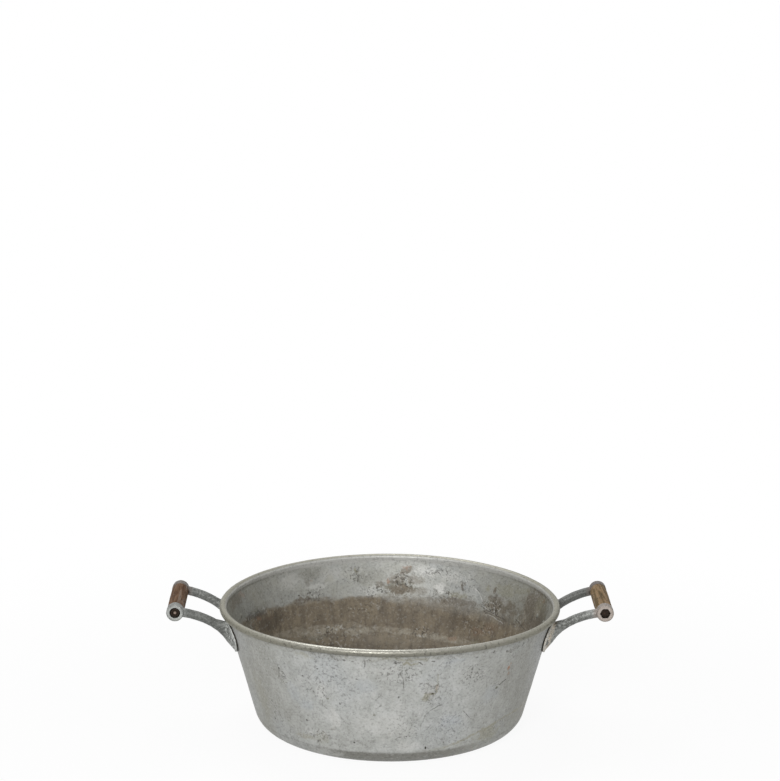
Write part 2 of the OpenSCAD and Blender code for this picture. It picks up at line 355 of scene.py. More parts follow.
@node_tree("Turned section", GEOMETRY)
def build_turning(wires, section="Geometry", steps=96):
    """Turns an open or closed section, points in order with x as the radius, round the upright axis."""
    rows = wires.out("GeometryNodeAttributeDomainSize", Geometry=section, component="MESH",
        pick="Point Count")
    columns = steps + 1.0
    grid = wires.out("GeometryNodeMeshGrid", Vertices_X=columns, Vertices_Y=rows, pick="Mesh")
    index = wires.out("GeometryNodeInputIndex")
    row = index % rows
    column = wires.math("FLOOR", (index + 0.25) / rows)
    angle = column * math.tau / steps
    place = wires.out("GeometryNodeSampleIndex", Geometry=section,
        Value=wires.out("GeometryNodeInputPosition"), Index=row, data_type="FLOAT_VECTOR", domain="POINT")
    zone = wires.out("GeometryNodeSampleIndex", Geometry=section,
        Value=wires.out("GeometryNodeInputNamedAttribute", Name="inner", data_type="FLOAT"), Index=row,
        data_type="FLOAT", domain="POINT")
    radius, _, height = wires.separate(place)
    spot = wires.combine(radius * wires.math("COSINE", angle), radius * wires.math("SINE", angle), height)
    turned = wires.out("GeometryNodeSetPosition", Geometry=grid, Position=spot)
    marked = wires.out("GeometryNodeStoreNamedAttribute", Geometry=turned, Name="inner", Value=zone,
        data_type="FLOAT", domain="POINT")
    return wires.out("GeometryNodeMergeByDistance", Geometry=marked, Distance=WELD)


@node_tree("Rim warp", GEOMETRY)
def build_rim_warp(wires, geometry="Geometry", warp=0.0, low=0.0, high=0.0):
    """Lifts the rim in front and behind and lowers it at the handles."""
    x, y, z = wires.separate(wires.out("GeometryNodeInputPosition"))
    double = wires.math("ARCTAN2", y, x) * 2.0
    lift = wires.math("COSINE", double) * (warp * -1.0) * z.ramp(low, high)
    return wires.out("GeometryNodeSetPosition", Geometry=geometry, Offset=wires.combine(0.0, 0.0, lift))


@node_tree("Dent", GEOMETRY, "Depth")
def build_dent(wires, place="Vector", centre="Vector", half_size="Vector", depth=0.0):
    """Depth of one dent at the current point: a soft oval hollow, pushed inwards."""
    away = wires.vector("DIVIDE", wires.vector("SUBTRACT", place, centre), half_size)
    share = wires.vector("LENGTH", away).ramp(0.0, 1.0, 1.0, 0.0)
    return share * depth


def on_sheet(azimuth, height):
    """A place on the wall laid flat, from an azimuth in degrees and a height in mm."""
    return (math.radians(azimuth) * WALL_ARC, height * MM, 0.0)


def oval(azimuth, height, half_wide, half_high):
    """Middle and half size of an oval on the wall laid flat."""
    return {"Centre": on_sheet(azimuth, height), "Half_size": (half_wide * MM, half_high * MM, 1.0)}


# Dents of the wall: azimuth in degrees, height, half width and half height in mm, depth in mm inwards
DENTS = [
    (48, 104, 14, 22, 2.4), (53, 128, 9, 12, -1.3), (38, 100, 12, 13, -1.0), (25, 120, 16, 24, 1.6),
    (-142, 50, 22, 16, 1.1), (-116, 100, 30, 20, 0.9), (-92, 40, 26, 16, 0.8), (-60, 66, 24, 18, -0.9),
    (-70, 118, 20, 26, 0.8), (-100, 128, 34, 16, -0.7), (120, 96, 30, 20, 0.9), (96, 64, 26, 14, -0.8),
    (150, 76, 24, 18, 0.9), (72, 60, 20, 18, 1.0), (-35, 60, 18, 22, -0.9), (-30, 110, 18, 20, 0.7),
]


@node_tree("Zinc sheet", GEOMETRY)
def build_zinc_sheet(wires, section="Geometry", steps=384, warp=0.0, warp_from=0.0, warp_to=0.0, wave=0.0,
        bead_wave=0.0, bead_height=0.0, seed=0, material="Material"):
    """The whole basin from its section: turned, made a little uneven, dented and warped at the rim."""
    turned = wires.use("Turned section", Section=section, Steps=steps)
    spot = wires.out("GeometryNodeInputPosition")
    x, y, z = wires.separate(spot)
    azimuth = wires.math("ARCTAN2", y, x)
    place = wires.combine(azimuth * WALL_ARC, z)
    out = wires.vector("NORMALIZE", wires.combine(x, y, 0.0))
    away_from_pads = wires.most(abs(x).ramp(0.155, 0.175, 1.0, 0.0), z.ramp(0.088, 0.1, 1.0, 0.0))
    upright = z.ramp(0.004, 0.03) * z.ramp(0.146, 0.158, 1.0, 0.0)
    where = away_from_pads * upright
    flat_spot = wires.vector("MULTIPLY", spot, (1.0, 1.0, 0.7))
    waves = wires.noise(flat_spot, 14.0, 2.0, 0.45, seed)[0] - 0.5
    fine = wires.noise(spot, 55.0, 2.0, 0.5, seed)[0] - 0.5
    bulge = (waves + fine * 0.35) * wave * 2.0
    for *shape, depth in DENTS:
        bulge = bulge - wires.use("Dent", Place=place, Depth=depth * MM, **oval(*shape))
    wall_move = wires.vector("SCALE", out, bulge * where)
    bead = z.ramp(bead_height, bead_height + 0.003)
    wobble = (wires.noise(spot, 38.0, 3.0, 0.6, seed)[0] - 0.5) * bead * bead_wave
    bead_move = wires.vector("ADD", wires.vector("SCALE", out, wobble), wires.combine(0.0, 0.0, wobble))
    shaped = wires.out("GeometryNodeSetPosition", Geometry=turned,
        Offset=wires.vector("ADD", wall_move, bead_move))
    warped = wires.use("Rim warp", Geometry=shaped, Warp=warp, Low=warp_from, High=warp_to)
    return finish(wires, warped, material)


@node_tree("Rim wire", GEOMETRY)
def build_rim_wire(wires, section="Geometry", steps=192, warp=0.0, warp_from=0.0, warp_to=0.0,
        material="Material"):
    """The wire in the rim, with the rim's own warp."""
    turned = wires.use("Turned section", Section=section, Steps=steps)
    warped = wires.use("Rim warp", Geometry=turned, Warp=warp, Low=warp_from, High=warp_to)
    return finish(wires, warped, material)


def finish(wires, geometry, material, sharp=None):
    """Ends a tree: smooth faces, sharp edges above an angle, real geometry and one material."""
    smooth = wires.out("GeometryNodeSetShadeSmooth", Geometry=geometry, Shade_Smooth=True, domain="FACE")
    if sharp is not None:
        angle = wires.out("GeometryNodeInputMeshEdgeAngle", pick="Unsigned Angle")
        steep = wires.out("FunctionNodeCompare", angle, sharp, data_type="FLOAT", operation="GREATER_THAN")
        smooth = wires.out("GeometryNodeSetShadeSmooth", Geometry=smooth, Selection=steep, Shade_Smooth=False,
            domain="EDGE")
    real = wires.out("GeometryNodeRealizeInstances", Geometry=smooth)
    return wires.out("GeometryNodeSetMaterial", Geometry=real, Material=material)


@node_tree("Wooden grip", GEOMETRY)
def build_grip(wires, section="Geometry", steps=160, bore=0.0, half_length=0.0, grain=0.0, chips=0.0,
        barrel=0.0, place="Vector", seed=0, material="Material"):
    """A turned grip: weathered grain, chips and worn ends, laid along the Y axis at its place."""
    turned = wires.use("Turned section", Section=section, Steps=steps)
    spot = wires.out("GeometryNodeInputPosition")
    x, y, z = wires.separate(spot)
    flat = wires.combine(x, y, 0.0)
    radius = wires.vector("LENGTH", flat)
    outer = (radius - bore).ramp(1.5 * MM, 4.0 * MM)
    along = wires.vector("MULTIPLY", spot, (1.0, 1.0, 0.07))
    grooves = wires.noise(along, 520.0, 3.0, 0.6, seed)[0]
    grooves = grooves.ramp(0.42, 0.62) * grain
    pits = wires.noise(wires.vector("MULTIPLY", spot, (1.0, 1.0, 0.35)), 150.0, 2.0, 0.5, seed)[0]
    pits = pits.ramp(0.6, 0.72) * chips
    end = abs(z) / half_length
    swell = end ** 3.0 * barrel
    loss = (grooves + pits + swell) * outer * -1.0
    worn = wires.pushed(turned, wires.vector("NORMALIZE", flat), loss)
    laid = wires.out("GeometryNodeTransform", Geometry=worn, Translation=place,
        Rotation=(math.radians(90), 0.0, 0.0))
    return finish(wires, laid, material)


@node_tree("Riveting", GEOMETRY)
def build_riveting(wires, points="Geometry", section="Object", steps=40, dents=0.0, seed=0,
        material="Material"):
    """Sets a hammered rivet on each point, along the point's outward vector."""
    outline = wires.out("GeometryNodeObjectInfo", Object=section, pick="Geometry")
    rivet = wires.use("Turned section", Section=outline, Steps=steps)
    outward = wires.out("GeometryNodeInputNamedAttribute", Name="outward", data_type="FLOAT_VECTOR")
    turn = wires.out("FunctionNodeAlignRotationToVector", Vector=outward, axis="Z")
    set_in = wires.out("GeometryNodeInstanceOnPoints", Points=points, Instance=rivet, Rotation=turn)
    real = wires.out("GeometryNodeRealizeInstances", Geometry=set_in)
    spot = wires.out("GeometryNodeInputPosition")
    normal = wires.out("GeometryNodeInputNormal")
    hammer = wires.noise(spot, 330.0, 1.0, 0.5, seed)[0] - 0.62
    hammered = wires.pushed(real, normal, hammer * dents)
    return finish(wires, hammered, material)


@node_tree("Six flats", GEOMETRY)
def build_six_sides(wires, geometry="Geometry", flat_distance=0.0):
    """Cuts a turned shape to six flats at a distance from its axis."""
    x, y, z = wires.separate(wires.out("GeometryNodeInputPosition"))
    angle = wires.math("ARCTAN2", y, x)
    sixth = math.radians(60)
    fold = angle % sixth - sixth / 2
    limit = flat_distance / wires.math("COSINE", fold)
    radius = wires.length(x, y)
    kept = wires.math("MINIMUM", radius, limit)
    return wires.out("GeometryNodeSetPosition", Geometry=geometry,
        Position=wires.combine(kept * wires.math("COSINE", angle), kept * wires.math("SINE", angle), z))


def lay(wires, geometry, place, turn):
    """Lays an upright piece along the Y axis, turns it about the upright and sets it in its place."""
    lying = wires.out("GeometryNodeTransform", Geometry=geometry, Rotation=(math.radians(-90), 0.0, 0.0))
    return wires.out("GeometryNodeTransform", Geometry=lying, Translation=place,
        Rotation=wires.combine(0.0, 0.0, turn))


@node_tree("Tie bolt", GEOMETRY)
def build_tie_bolt(wires, shank_section="Geometry", head_section="Object", steps=48, flat_distance=0.0,
        thread_from=0.0, pitch=0.0, depth=0.0, place="Vector", turn=0.0, material="Material"):
    """A tie bolt: six-sided head, long shank and a rolled thread at its end, laid along the Y axis."""
    shank = wires.use("Turned section", Section=shank_section, Steps=steps)
    x, y, z = wires.separate(wires.out("GeometryNodeInputPosition"))
    flat = wires.combine(x, y, 0.0)
    radius = wires.vector("LENGTH", flat)
    way_round = wires.math("ARCTAN2", y, x) / math.tau
    rise = z / pitch - way_round
    groove = wires.math("PINGPONG", rise, 0.5) * 2.0
    threads = z.ramp(thread_from, thread_from + 0.001) * radius.ramp(2.4 * MM, 3.0 * MM)
    cut = groove * threads * (depth * -1.0)
    threaded = wires.pushed(shank, wires.vector("NORMALIZE", flat), cut)
    head_outline = wires.out("GeometryNodeObjectInfo", Object=head_section, pick="Geometry")
    head = wires.use("Turned section", Section=head_outline, Steps=96)
    head = wires.use("Six flats", Geometry=head, Flat_distance=flat_distance)
    both = wires.node("GeometryNodeJoinGeometry")
    wires.feed(both.inputs[0], head)
    wires.feed(both.inputs[0], threaded)
    return finish(wires, lay(wires, both.outputs[0], place, turn), material, sharp=SHARP)


@node_tree("Tie nut", GEOMETRY)
def build_tie_nut(wires, section="Geometry", steps=96, flat_distance=0.0, place="Vector", turn=0.0,
        material="Material"):
    """A six-sided nut with bevelled corners, laid along the Y axis."""
    turned = wires.use("Turned section", Section=section, Steps=steps)
    cut = wires.use("Six flats", Geometry=turned, Flat_distance=flat_distance)
    return finish(wires, lay(wires, cut, place, turn), material, sharp=SHARP)


@node_tree("Sand casting", GEOMETRY)
def build_sand_casting(wires, geometry="Geometry", roughness=0.0, lumps=0.0, seed=0, material="Material"):
    """Roughens a casting along its normals: lumps and the grain of the sand."""
    spot = wires.out("GeometryNodeInputPosition")
    normal = wires.out("GeometryNodeInputNormal")
    sand = wires.noise(spot, 620.0, 3.0, 0.6, seed)[0] - 0.5
    bulges = wires.noise(spot, 120.0, 2.0, 0.5, seed)[0] - 0.55
    depth = sand * (roughness * 2.0) + bulges * (lumps * 2.0)
    return finish(wires, wires.pushed(geometry, normal, depth), material)


# Sections


def arc(centre, radius, start, end, steps):
    """Points on an arc, angles in degrees, first and last included."""
    angles = [math.radians(start + (end - start) * i / steps) for i in range(steps + 1)]
    return [(centre[0] + radius * math.cos(a), centre[1] + radius * math.sin(a)) for a in angles]


def line(start, end, steps):
    """Points between two ends, both left out."""
    return [tuple(s + (e - s) * i / steps for s, e in zip(start, end)) for i in range(1, steps)]


def sheet_section(s):
    """The basin's section as (radius, height, inner): underside, outer wall, curl, inner wall, bottom."""
    t, lean = s.thickness, s.lean
    bore = s.wire_radius + s.wire_play
    curl = bore + t
    curl_x, curl_z = s.rim_radius - curl, s.height - curl
    neck = curl_x - bore
    slope = math.tan(lean)
    meet = curl_z - s.neck_drop
    foot = neck - slope * meet  # radius where the wall's outside would meet the floor
    corner = (foot + s.corner_radius * (slope - 1 / math.cos(lean)), s.corner_radius)
    bend = (neck - s.neck_radius, meet + s.neck_radius * math.tan(lean / 2))
    lean_deg = math.degrees(lean)
    curl_end = math.degrees(math.acos((neck + s.curl_gap - curl_x) / curl))
    outer_corner = arc(corner, s.corner_radius, -90, -lean_deg, 14)
    outer_bend = arc(bend, s.neck_radius, -lean_deg, 0, 4)
    inner_corner = arc(corner, s.corner_radius - t, -90, -lean_deg, 12)
    inner_bend = arc(bend, s.neck_radius - t, -lean_deg, 0, 4)
    curl_middle = (curl_x, curl_z)
    outside = [(0.0, 0.0)] + line((0.0, 0.0), outer_corner[0], 18) + outer_corner
    outside += line(outer_corner[-1], outer_bend[0], 58) + outer_bend
    outside += line(outer_bend[-1], (neck, curl_z), 2)
    outside += arc(curl_middle, bore, 180, -curl_end, 22)
    over = arc(curl_middle, curl, -curl_end, 180, 34)
    inside = line((neck - t, curl_z), inner_bend[-1], 2) + inner_bend[::-1]
    inside += line(inner_bend[0], inner_corner[-1], 58) + inner_corner[::-1]
    inside += line(inner_corner[0], (0.0, t), 18) + [(0.0, t)]
    points = [(r, z, 0.0) for r, z in outside]
    for i, (r, z) in enumerate(over):
        share = min(1.0, max(0.0, (i / (len(over) - 1) - 0.72) / 0.2))
        points.append((r, z, share))
    return points + [(r, z, 1.0) for r, z in inside]


def off_wall(s, radius, z):
    """How far a place stands off the wall's outside. Takes numbers or signals."""
    bore = s.wire_radius + s.wire_play
    curl = bore + s.thickness
    slope = math.tan(s.lean)
    foot = s.rim_radius - curl - bore - slope * (s.height - curl - s.neck_drop)  # as in sheet_section()
    return (radius - foot - z * slope) * math.cos(s.lean)


def wire_section(s):
    """The wire's round section, closed."""
    curl = s.wire_radius + s.wire_play + s.thickness
    centre = (s.rim_radius - curl, s.height - curl)
    return arc(centre, s.wire_radius, 0, 360, 20)


def grip_section(bore, radius, half, edge):
    """A roller's section, closed: face, rounded edge, side, rounded edge, face and bore."""
    low = arc((radius - edge, edge - half), edge, -90, 0, 8)
    high = arc((radius - edge, half - edge), edge, 0, 90, 8)
    points = [(bore, -half)] + line((bore, -half), low[0], 6) + low
    points += line(low[-1], high[0], 110) + high + line(high[-1], (bore, half), 6)
    return points + [(bore, half)] + line((bore, half), (bore, -half), 24) + [(bore, -half)]


def rivet_section(radius, shank, out, inside, head, tail):
    """A rivet's section along its own axis, from the tail inside the basin to the head on the pad."""
    def dome(height, base, sign):
        sphere = (radius * radius + height * height) / (2 * height)
        half = math.degrees(math.asin(radius / sphere))
        side = [(sphere * math.sin(math.radians(half * i / 7)), sphere * math.cos(math.radians(half * i / 7)))
                for i in range(8)]
        return [(r, base + sign * (z + height - sphere)) for r, z in side]
    return dome(tail, -inside, -1) + [(shank, -inside), (shank, out)] + dome(head, out, 1)[::-1]


def six_sided_section(bore, low, high):
    """A nut's or a bolt head's section, with the bevels that round off its six corners."""
    corner = FLAT / math.cos(math.radians(30))
    bevel = (corner - FLAT) * 0.95
    drop = bevel * math.tan(math.radians(30))
    points = [(bore, low), (corner - bevel, low), (corner, low + drop)]
    points += line((corner, low + drop), (corner, high - drop), 6)
    points += [(corner, high - drop), (corner - bevel, high), (bore, high)]
    if bore > 0:
        points += line((bore, high), (bore, low), 4) + [(bore, low)]
    return points


def shank_section(radius, start, end, thread_from):
    """The bolt's rod, with rings close enough for its thread near the end."""
    bevel = 0.5 * MM
    points = [(0.0, start), (radius, start)] + line((radius, start), (radius, thread_from), 30)
    points += [(radius, thread_from)] + line((radius, thread_from), (radius, end - bevel), 110)
    return points + [(radius, end - bevel), (radius - bevel, end), (0.0, end)]


def in_scene(name, data):
    """A new object with its data, linked to the scene."""
    made = bpy.data.objects.new(name, data)
    bpy.context.scene.collection.objects.link(made)
    return made


def section_object(name, points):
    """Puts a section's points, joined in order, into an object. A third number says how far it is inside."""
    mesh = bpy.data.meshes.new(name)
    mesh.from_pydata([(p[0], 0.0, p[1]) for p in points], [(i, i + 1) for i in range(len(points) - 1)], [])
    inner = mesh.attributes.new("inner", "FLOAT", "POINT").data
    inner.foreach_set("value", [p[2] if len(p) > 2 else 0.0 for p in points])
    return in_scene(name, mesh)


def run_tree(obj, name, **values):
    """Adds a Geometry Nodes modifier and sets its inputs by name before the object is first evaluated."""
    tree = tree_called(name)
    modifier = obj.modifiers.new(name, "NODES")
    modifier.node_group = tree
    sockets = {item.name: item.identifier for item in tree.interface.items_tree if item.in_out == "INPUT"}
    for label, value in values.items():
        modifier[sockets[label.replace("_", " ")]] = value


def bake_mesh(obj, material):
    """Turns the evaluated object into a plain mesh at the origin, with no modifiers left."""
    bpy.context.view_layer.update()
    graph = bpy.context.evaluated_depsgraph_get()
    mesh = bpy.data.meshes.new_from_object(
        obj.evaluated_get(graph), preserve_all_data_layers=True, depsgraph=graph)
    obj.modifiers.clear()
    obj.data = mesh
    if not mesh.polygons:
        raise RuntimeError(f"{obj.name} came out without faces")
    if not mesh.materials:
        mesh.materials.append(material)
    for index in range(len(mesh.materials)):
        mesh.materials[index] = material


def make_piece(obj, tree, body, node, slot, material, **values):
    """Runs a tree on an object. The piece then rides on its body and stands for its node. The slot is not
    used.
    """
    run_tree(obj, tree, Material=material, **values)
    bake_mesh(obj, material)
    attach(obj, body)
    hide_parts(node)


# Shader groups


@node_tree("Speckle", SHADER, "Mask")
def build_speckle(wires, vector="Vector", scale=300.0, cover=0.2, softness=0.08, seed=0.0):
    """Mask of small grains: how much of the surface they cover and how soft they are."""
    value = wires.noise(vector, scale, 3.0, 0.6, seed)[0]
    edge = 0.72 - cover * 0.42
    return value.ramp(edge, edge + softness)


@node_tree("Hair cracks", SHADER, "Mask")
def build_cracks(wires, vector="Vector", scale=90.0, width=0.012, cover=0.4, seed=0.0):
    """Mask of short crooked hair lines: where a noise crosses its middle, kept only in places."""
    value = wires.noise(vector, scale, 2.0, 0.6, seed, 0.6)[0]
    off = abs(value - 0.5)
    line = off.ramp(width * 0.4, width, 1.0, 0.0)
    pieces = wires.noise(vector, scale * 0.8, 1.0, 0.5, seed + 7.0)[0]
    edge = 0.68 - cover * 0.3
    kept = pieces.ramp(edge, edge + 0.06)
    return line * kept


@node_tree("Patch", SHADER, "Mask")
def build_patch(wires, place="Vector", centre="Vector", half_size=(0.01, 0.01, 1.0), softness=0.5,
        strength=1.0, ragged=0.0):
    """Mask of one oval patch, torn at its edge by a noise centred on zero."""
    away = wires.vector("DIVIDE", wires.vector("SUBTRACT", place, centre), half_size)
    distance = wires.vector("LENGTH", away)
    mask = distance.ramp(1.0 - softness, 1.0, 1.0, 0.0)
    torn = (mask + ragged).ramp(0.2, 0.8)
    mask = torn * mask.ramp(0.0, 0.25)
    return mask * strength


@node_tree("Stroke", SHADER, "Mask")
def build_stroke(wires, place="Vector", start="Vector", end="Vector", half_width=0.0008, strength=1.0):
    """Mask of a straight stroke between two places, such as a scratch or a run of dirt."""
    along = wires.vector("SUBTRACT", end, start)
    offset = wires.vector("SUBTRACT", place, start)
    share = wires.vector("DOT_PRODUCT", offset, along) / wires.vector("DOT_PRODUCT", along, along)
    share = wires.out("ShaderNodeClamp", Value=share)
    distance = wires.vector("LENGTH", wires.vector("SUBTRACT", offset, wires.vector("SCALE", along, share)))
    mask = (distance / half_width).ramp(0.35, 1.0, 1.0, 0.0)
    return mask * strength


@node_tree("Grain", SHADER, "Streaks", "Fine")
def build_grain(wires, vector="Vector", stretch=(1.0, 0.06, 1.0), scale=400.0, seed=0.0):
    """Streaks along one direction, as of wood or drawn metal: the stretch squeezes the vector first."""
    at = wires.vector("MULTIPLY", vector, stretch)
    broad = wires.noise(at, scale, 3.0, 0.55, seed, 0.4)[0]
    fine = wires.noise(at, scale * 3.2, 2.0, 0.6, seed)[0]
    return broad.ramp(0.36, 0.64), fine


@node_tree("Edge wear", SHADER, "Edges", "Hollows")
def build_edge_wear(wires, vector="Vector", scale=250.0, spread=0.05):
    """Masks of raised edges and of hollows, from the mesh's own shape, broken up by noise."""
    point = wires.out("ShaderNodeNewGeometry", pick="Pointiness")
    broken = (wires.noise(vector, scale)[0] - 0.5) * 0.06
    point = point + broken
    return point.ramp(0.51, 0.51 + spread), point.ramp(0.49 - spread, 0.49, 1.0, 0.0)


def emptied(owner):
    """The wiring of a material or a world, after its own nodes are taken out."""
    owner.use_nodes = True
    owner.node_tree.nodes.clear()
    return Wiring(owner.node_tree)


def new_material(name):
    """A node material. Gives it, its wiring, the Principled BSDF and the object coordinates."""
    material = bpy.data.materials.new(name)
    wires = emptied(material)
    shader = wires.node("ShaderNodeBsdfPrincipled")
    wires.node("ShaderNodeOutputMaterial", Surface=shader.outputs[0])
    spot = wires.out("ShaderNodeTexCoord", pick="Object")
    return material, wires, shader, spot


def bump(wires, height, distance, strength, **normal):
    """A Bump node's normal, on top of another where one is given."""
    return wires.out("ShaderNodeBump", Height=height, Distance=distance, Strength=strength, **normal)


# Patches on the wall by their paint: azimuth in degrees from the right handle, height, half width and half
# height in mm, strength, and the softness of the edge where it is less than 1
INNER_PATCHES = {
    "zinc_dark": [(150, 124, 44, 9, 0.55), (164, 130, 40, 20, 0.25), (160, 110, 40, 16, 0.5),
        (95, 140, 30, 20, 0.4), (120, 150, 46, 15, 0.5), (86, 124, 42, 18, 1.0), (97, 136, 40, 18, 0.45),
        (121, 66, 30, 8, 0.5)],
    "stain": [(166, 150, 44, 14, 0.5), (104, 150, 2.2, 7, 0.3), (122, 140, 9, 9, 0.22),
        (93, 128, 12, 10, 0.5), (125, 118, 26, 9, 0.7), (85, 121, 38, 13, 0.8), (82.5, 148, 9, 9, 0.7),
        (84, 144, 9, 10, 0.75), (87, 135, 22, 11, 0.6), (80, 136, 24, 13, 0.5), (79, 121, 34, 10, 0.45),
        (59.6, 134, 5.5, 9, 0.6), (45.8, 134, 8, 9, 0.75), (62, 113, 60, 11, 0.6), (40, 120, 56, 20, 0.7),
        (18, 128, 66, 60, 0.75, 0.9), (58, 88, 40, 14, 0.5)],
    "zinc_olive": [(102, 148, 5, 10, 0.7), (113, 140, 10, 10, 0.4), (62, 121, 24, 8, 0.5),
        (49, 140, 6, 9, 0.5), (40, 142, 34, 16, 0.4), (14, 142, 40, 26, 0.4), (31, 148, 34, 10, 0.35),
        (50, 60, 16, 8, 0.4)],
    "zinc_pale": [(118, 133, 30, 10, 0.5), (112, 146, 40, 18, 0.35), (130, 145, 40, 20, 0.35),
        (98, 120, 28, 6, 0.25), (69, 127, 18, 10, 0.9), (75, 149, 34, 12, 0.6), (65, 144, 34, 14, 0.45),
        (58, 146, 2.4, 10, 0.5), (40, 127, 16, 10, 0.3)],
    "deposit": [(25.6, 118, 8, 10, 0.45), (28, 125, 5, 5, 0.3), (16.3, 131, 8, 11, 0.6),
        (118, 72, 44, 8, 0.6), (102, 66, 44, 7, 0.6), (84, 64, 36, 4, 0.5), (70, 61, 30, 5, 0.35),
        (76, 96, 24, 8, 0.22), (94, 100, 12, 6, 0.2)],
    "rust": [(158, 152, 18, 6, 0.2), (151, 113, 9, 6, 0.25), (144, 106, 12, 5, 0.12), (156, 108, 6, 4, 0.2),
        (120.5, 141, 4, 4, 0.15), (90, 133, 3, 7, 0.42, 0.9), (83, 152.5, 8, 3, 0.3, 0.9),
        (14, 150, 8, 5, 0.2), (62, 62, 14, 6, 0.25), (50, 76, 24, 10, 0.14), (44, 88, 26, 14, 0.1)],
    "grime": [(155, 153, 2.2, 1.3, 0.6, 0.8), (143, 100, 42, 18, 0.4), (154, 119, 50, 10, 0.5),
        (127, 125, 3, 1.4, 0.7, 0.8), (121, 117, 24, 5, 0.35), (120, 126, 18, 7, 0.2),
        (87, 137, 5, 2.5, 0.6), (84.5, 133, 4, 2, 0.5), (59.9, 130, 4, 4, 0.3), (33, 106, 30, 10, 0.25),
        (10, 130, 34, 60, 0.3), (19.8, 122, 3, 14, 0.5), (13, 138, 3, 14, 0.45), (106, 70, 14, 4, 0.3)],
}
OUTER_PATCHES = {
    "zinc_blue": [(-128, 92, 20, 26, 0.35), (-123, 79, 22, 16, 0.35), (-99, 116, 26, 20, 0.3),
        (-68, 149, 22, 6, 0.35), (-67, 61, 28, 18, 0.4), (-50, 90, 26, 22, 0.3)],
    "zinc_dark": [(-131, 104.5, 4, 1.2, 0.8, 0.8), (-113.6, 93, 3, 2.2, 0.9, 0.8),
        (-112.6, 48.5, 8, 6, 0.6), (-90.5, 48.5, 4, 3, 0.7, 0.9), (-96.3, 75.5, 3.4, 2.6, 0.9, 0.9),
        (-47.8, 96.5, 4.4, 3.4, 1.0, 0.9), (-134, 115, 16, 22, 0.3), (-56, 60, 16, 24, 0.2),
        (-44, 148, 26, 8, 0.35)],
    "stain": [(-76, 108, 14, 26, 0.16)],
    "zinc_olive": [(-75, 104, 7, 5, 1.0), (-77, 101, 12, 9, 0.6), (-74, 112, 5, 12, 0.6),
        (-120, 150, 24, 6, 0.35), (-118, 34, 14, 14, 0.3), (-150, 70, 30, 60, 0.25),
        (-126, 30, 36, 10, 0.4), (-46, 30, 40, 16, 0.45), (-86, 156, 70, 4, 0.4), (-84, 149.5, 18, 4, 0.7)],
    # Of the pale patches outside, the two tall ones left of the front are a painted sheen, and the last, low
    # one is painted light on the shaded bottom corner at the left
    "zinc_pale": [(-112, 62, 14, 30, 0.5), (-116, 104, 14, 24, 0.4), (-84, 30, 30, 18, 0.35),
        (-92, 140, 40, 9, 0.2), (-88, 80, 22, 30, 0.25), (-92, 60, 60, 34, 0.4), (-118, 12, 60, 12, 0.25)],
    "rust": [(-73.7, 113, 4, 8, 0.18), (-43.6, 121.5, 4.4, 6, 0.85), (-42.8, 113, 3, 5, 0.4),
        (-43, 127, 2.2, 2.2, 0.4, 0.8)],
    "grime": [(-124.4, 55.4, 2.4, 1.6, 0.95, 0.6), (-133.2, 123.6, 1.7, 1.7, 0.9, 0.6),
        (-143.8, 41, 1.7, 1.7, 0.8, 0.7), (-116, 135, 1.6, 1.4, 0.7, 0.7), (-122.6, 121, 1.8, 2, 0.7, 0.7),
        (-120.7, 27.6, 3.2, 3, 0.6, 0.9), (-109, 88, 2, 2, 0.6, 0.8), (-102, 126.5, 2, 1.4, 0.6, 0.8),
        (-104.7, 33, 1.8, 1.8, 0.85, 0.6), (-84, 44, 1.8, 1.8, 0.75, 0.7),
        (-87.4, 101.5, 1.6, 2.4, 0.7, 0.8), (-75.9, 25.6, 1.6, 2.4, 1.0, 0.5),
        (-68.4, 31, 2.6, 1.6, 0.6, 0.8), (-47.9, 96, 2.6, 1.8, 0.6), (-75.2, 104.5, 3, 2, 0.8),
        (-79.6, 120, 4.5, 2.4, 0.55), (-106, 152.5, 4.4, 1.8, 0.7), (-103, 151, 3, 1.5, 0.5),
        (-88, 151.5, 9, 2.2, 0.7), (-80, 150.5, 10, 2.4, 0.75), (-76, 151, 4.4, 2, 0.6),
        (-98, 152, 10, 1.6, 0.5), (-60, 149, 4.4, 2, 0.5), (-53, 151, 6, 2, 0.6), (-47, 148, 3, 3, 0.6)],
}
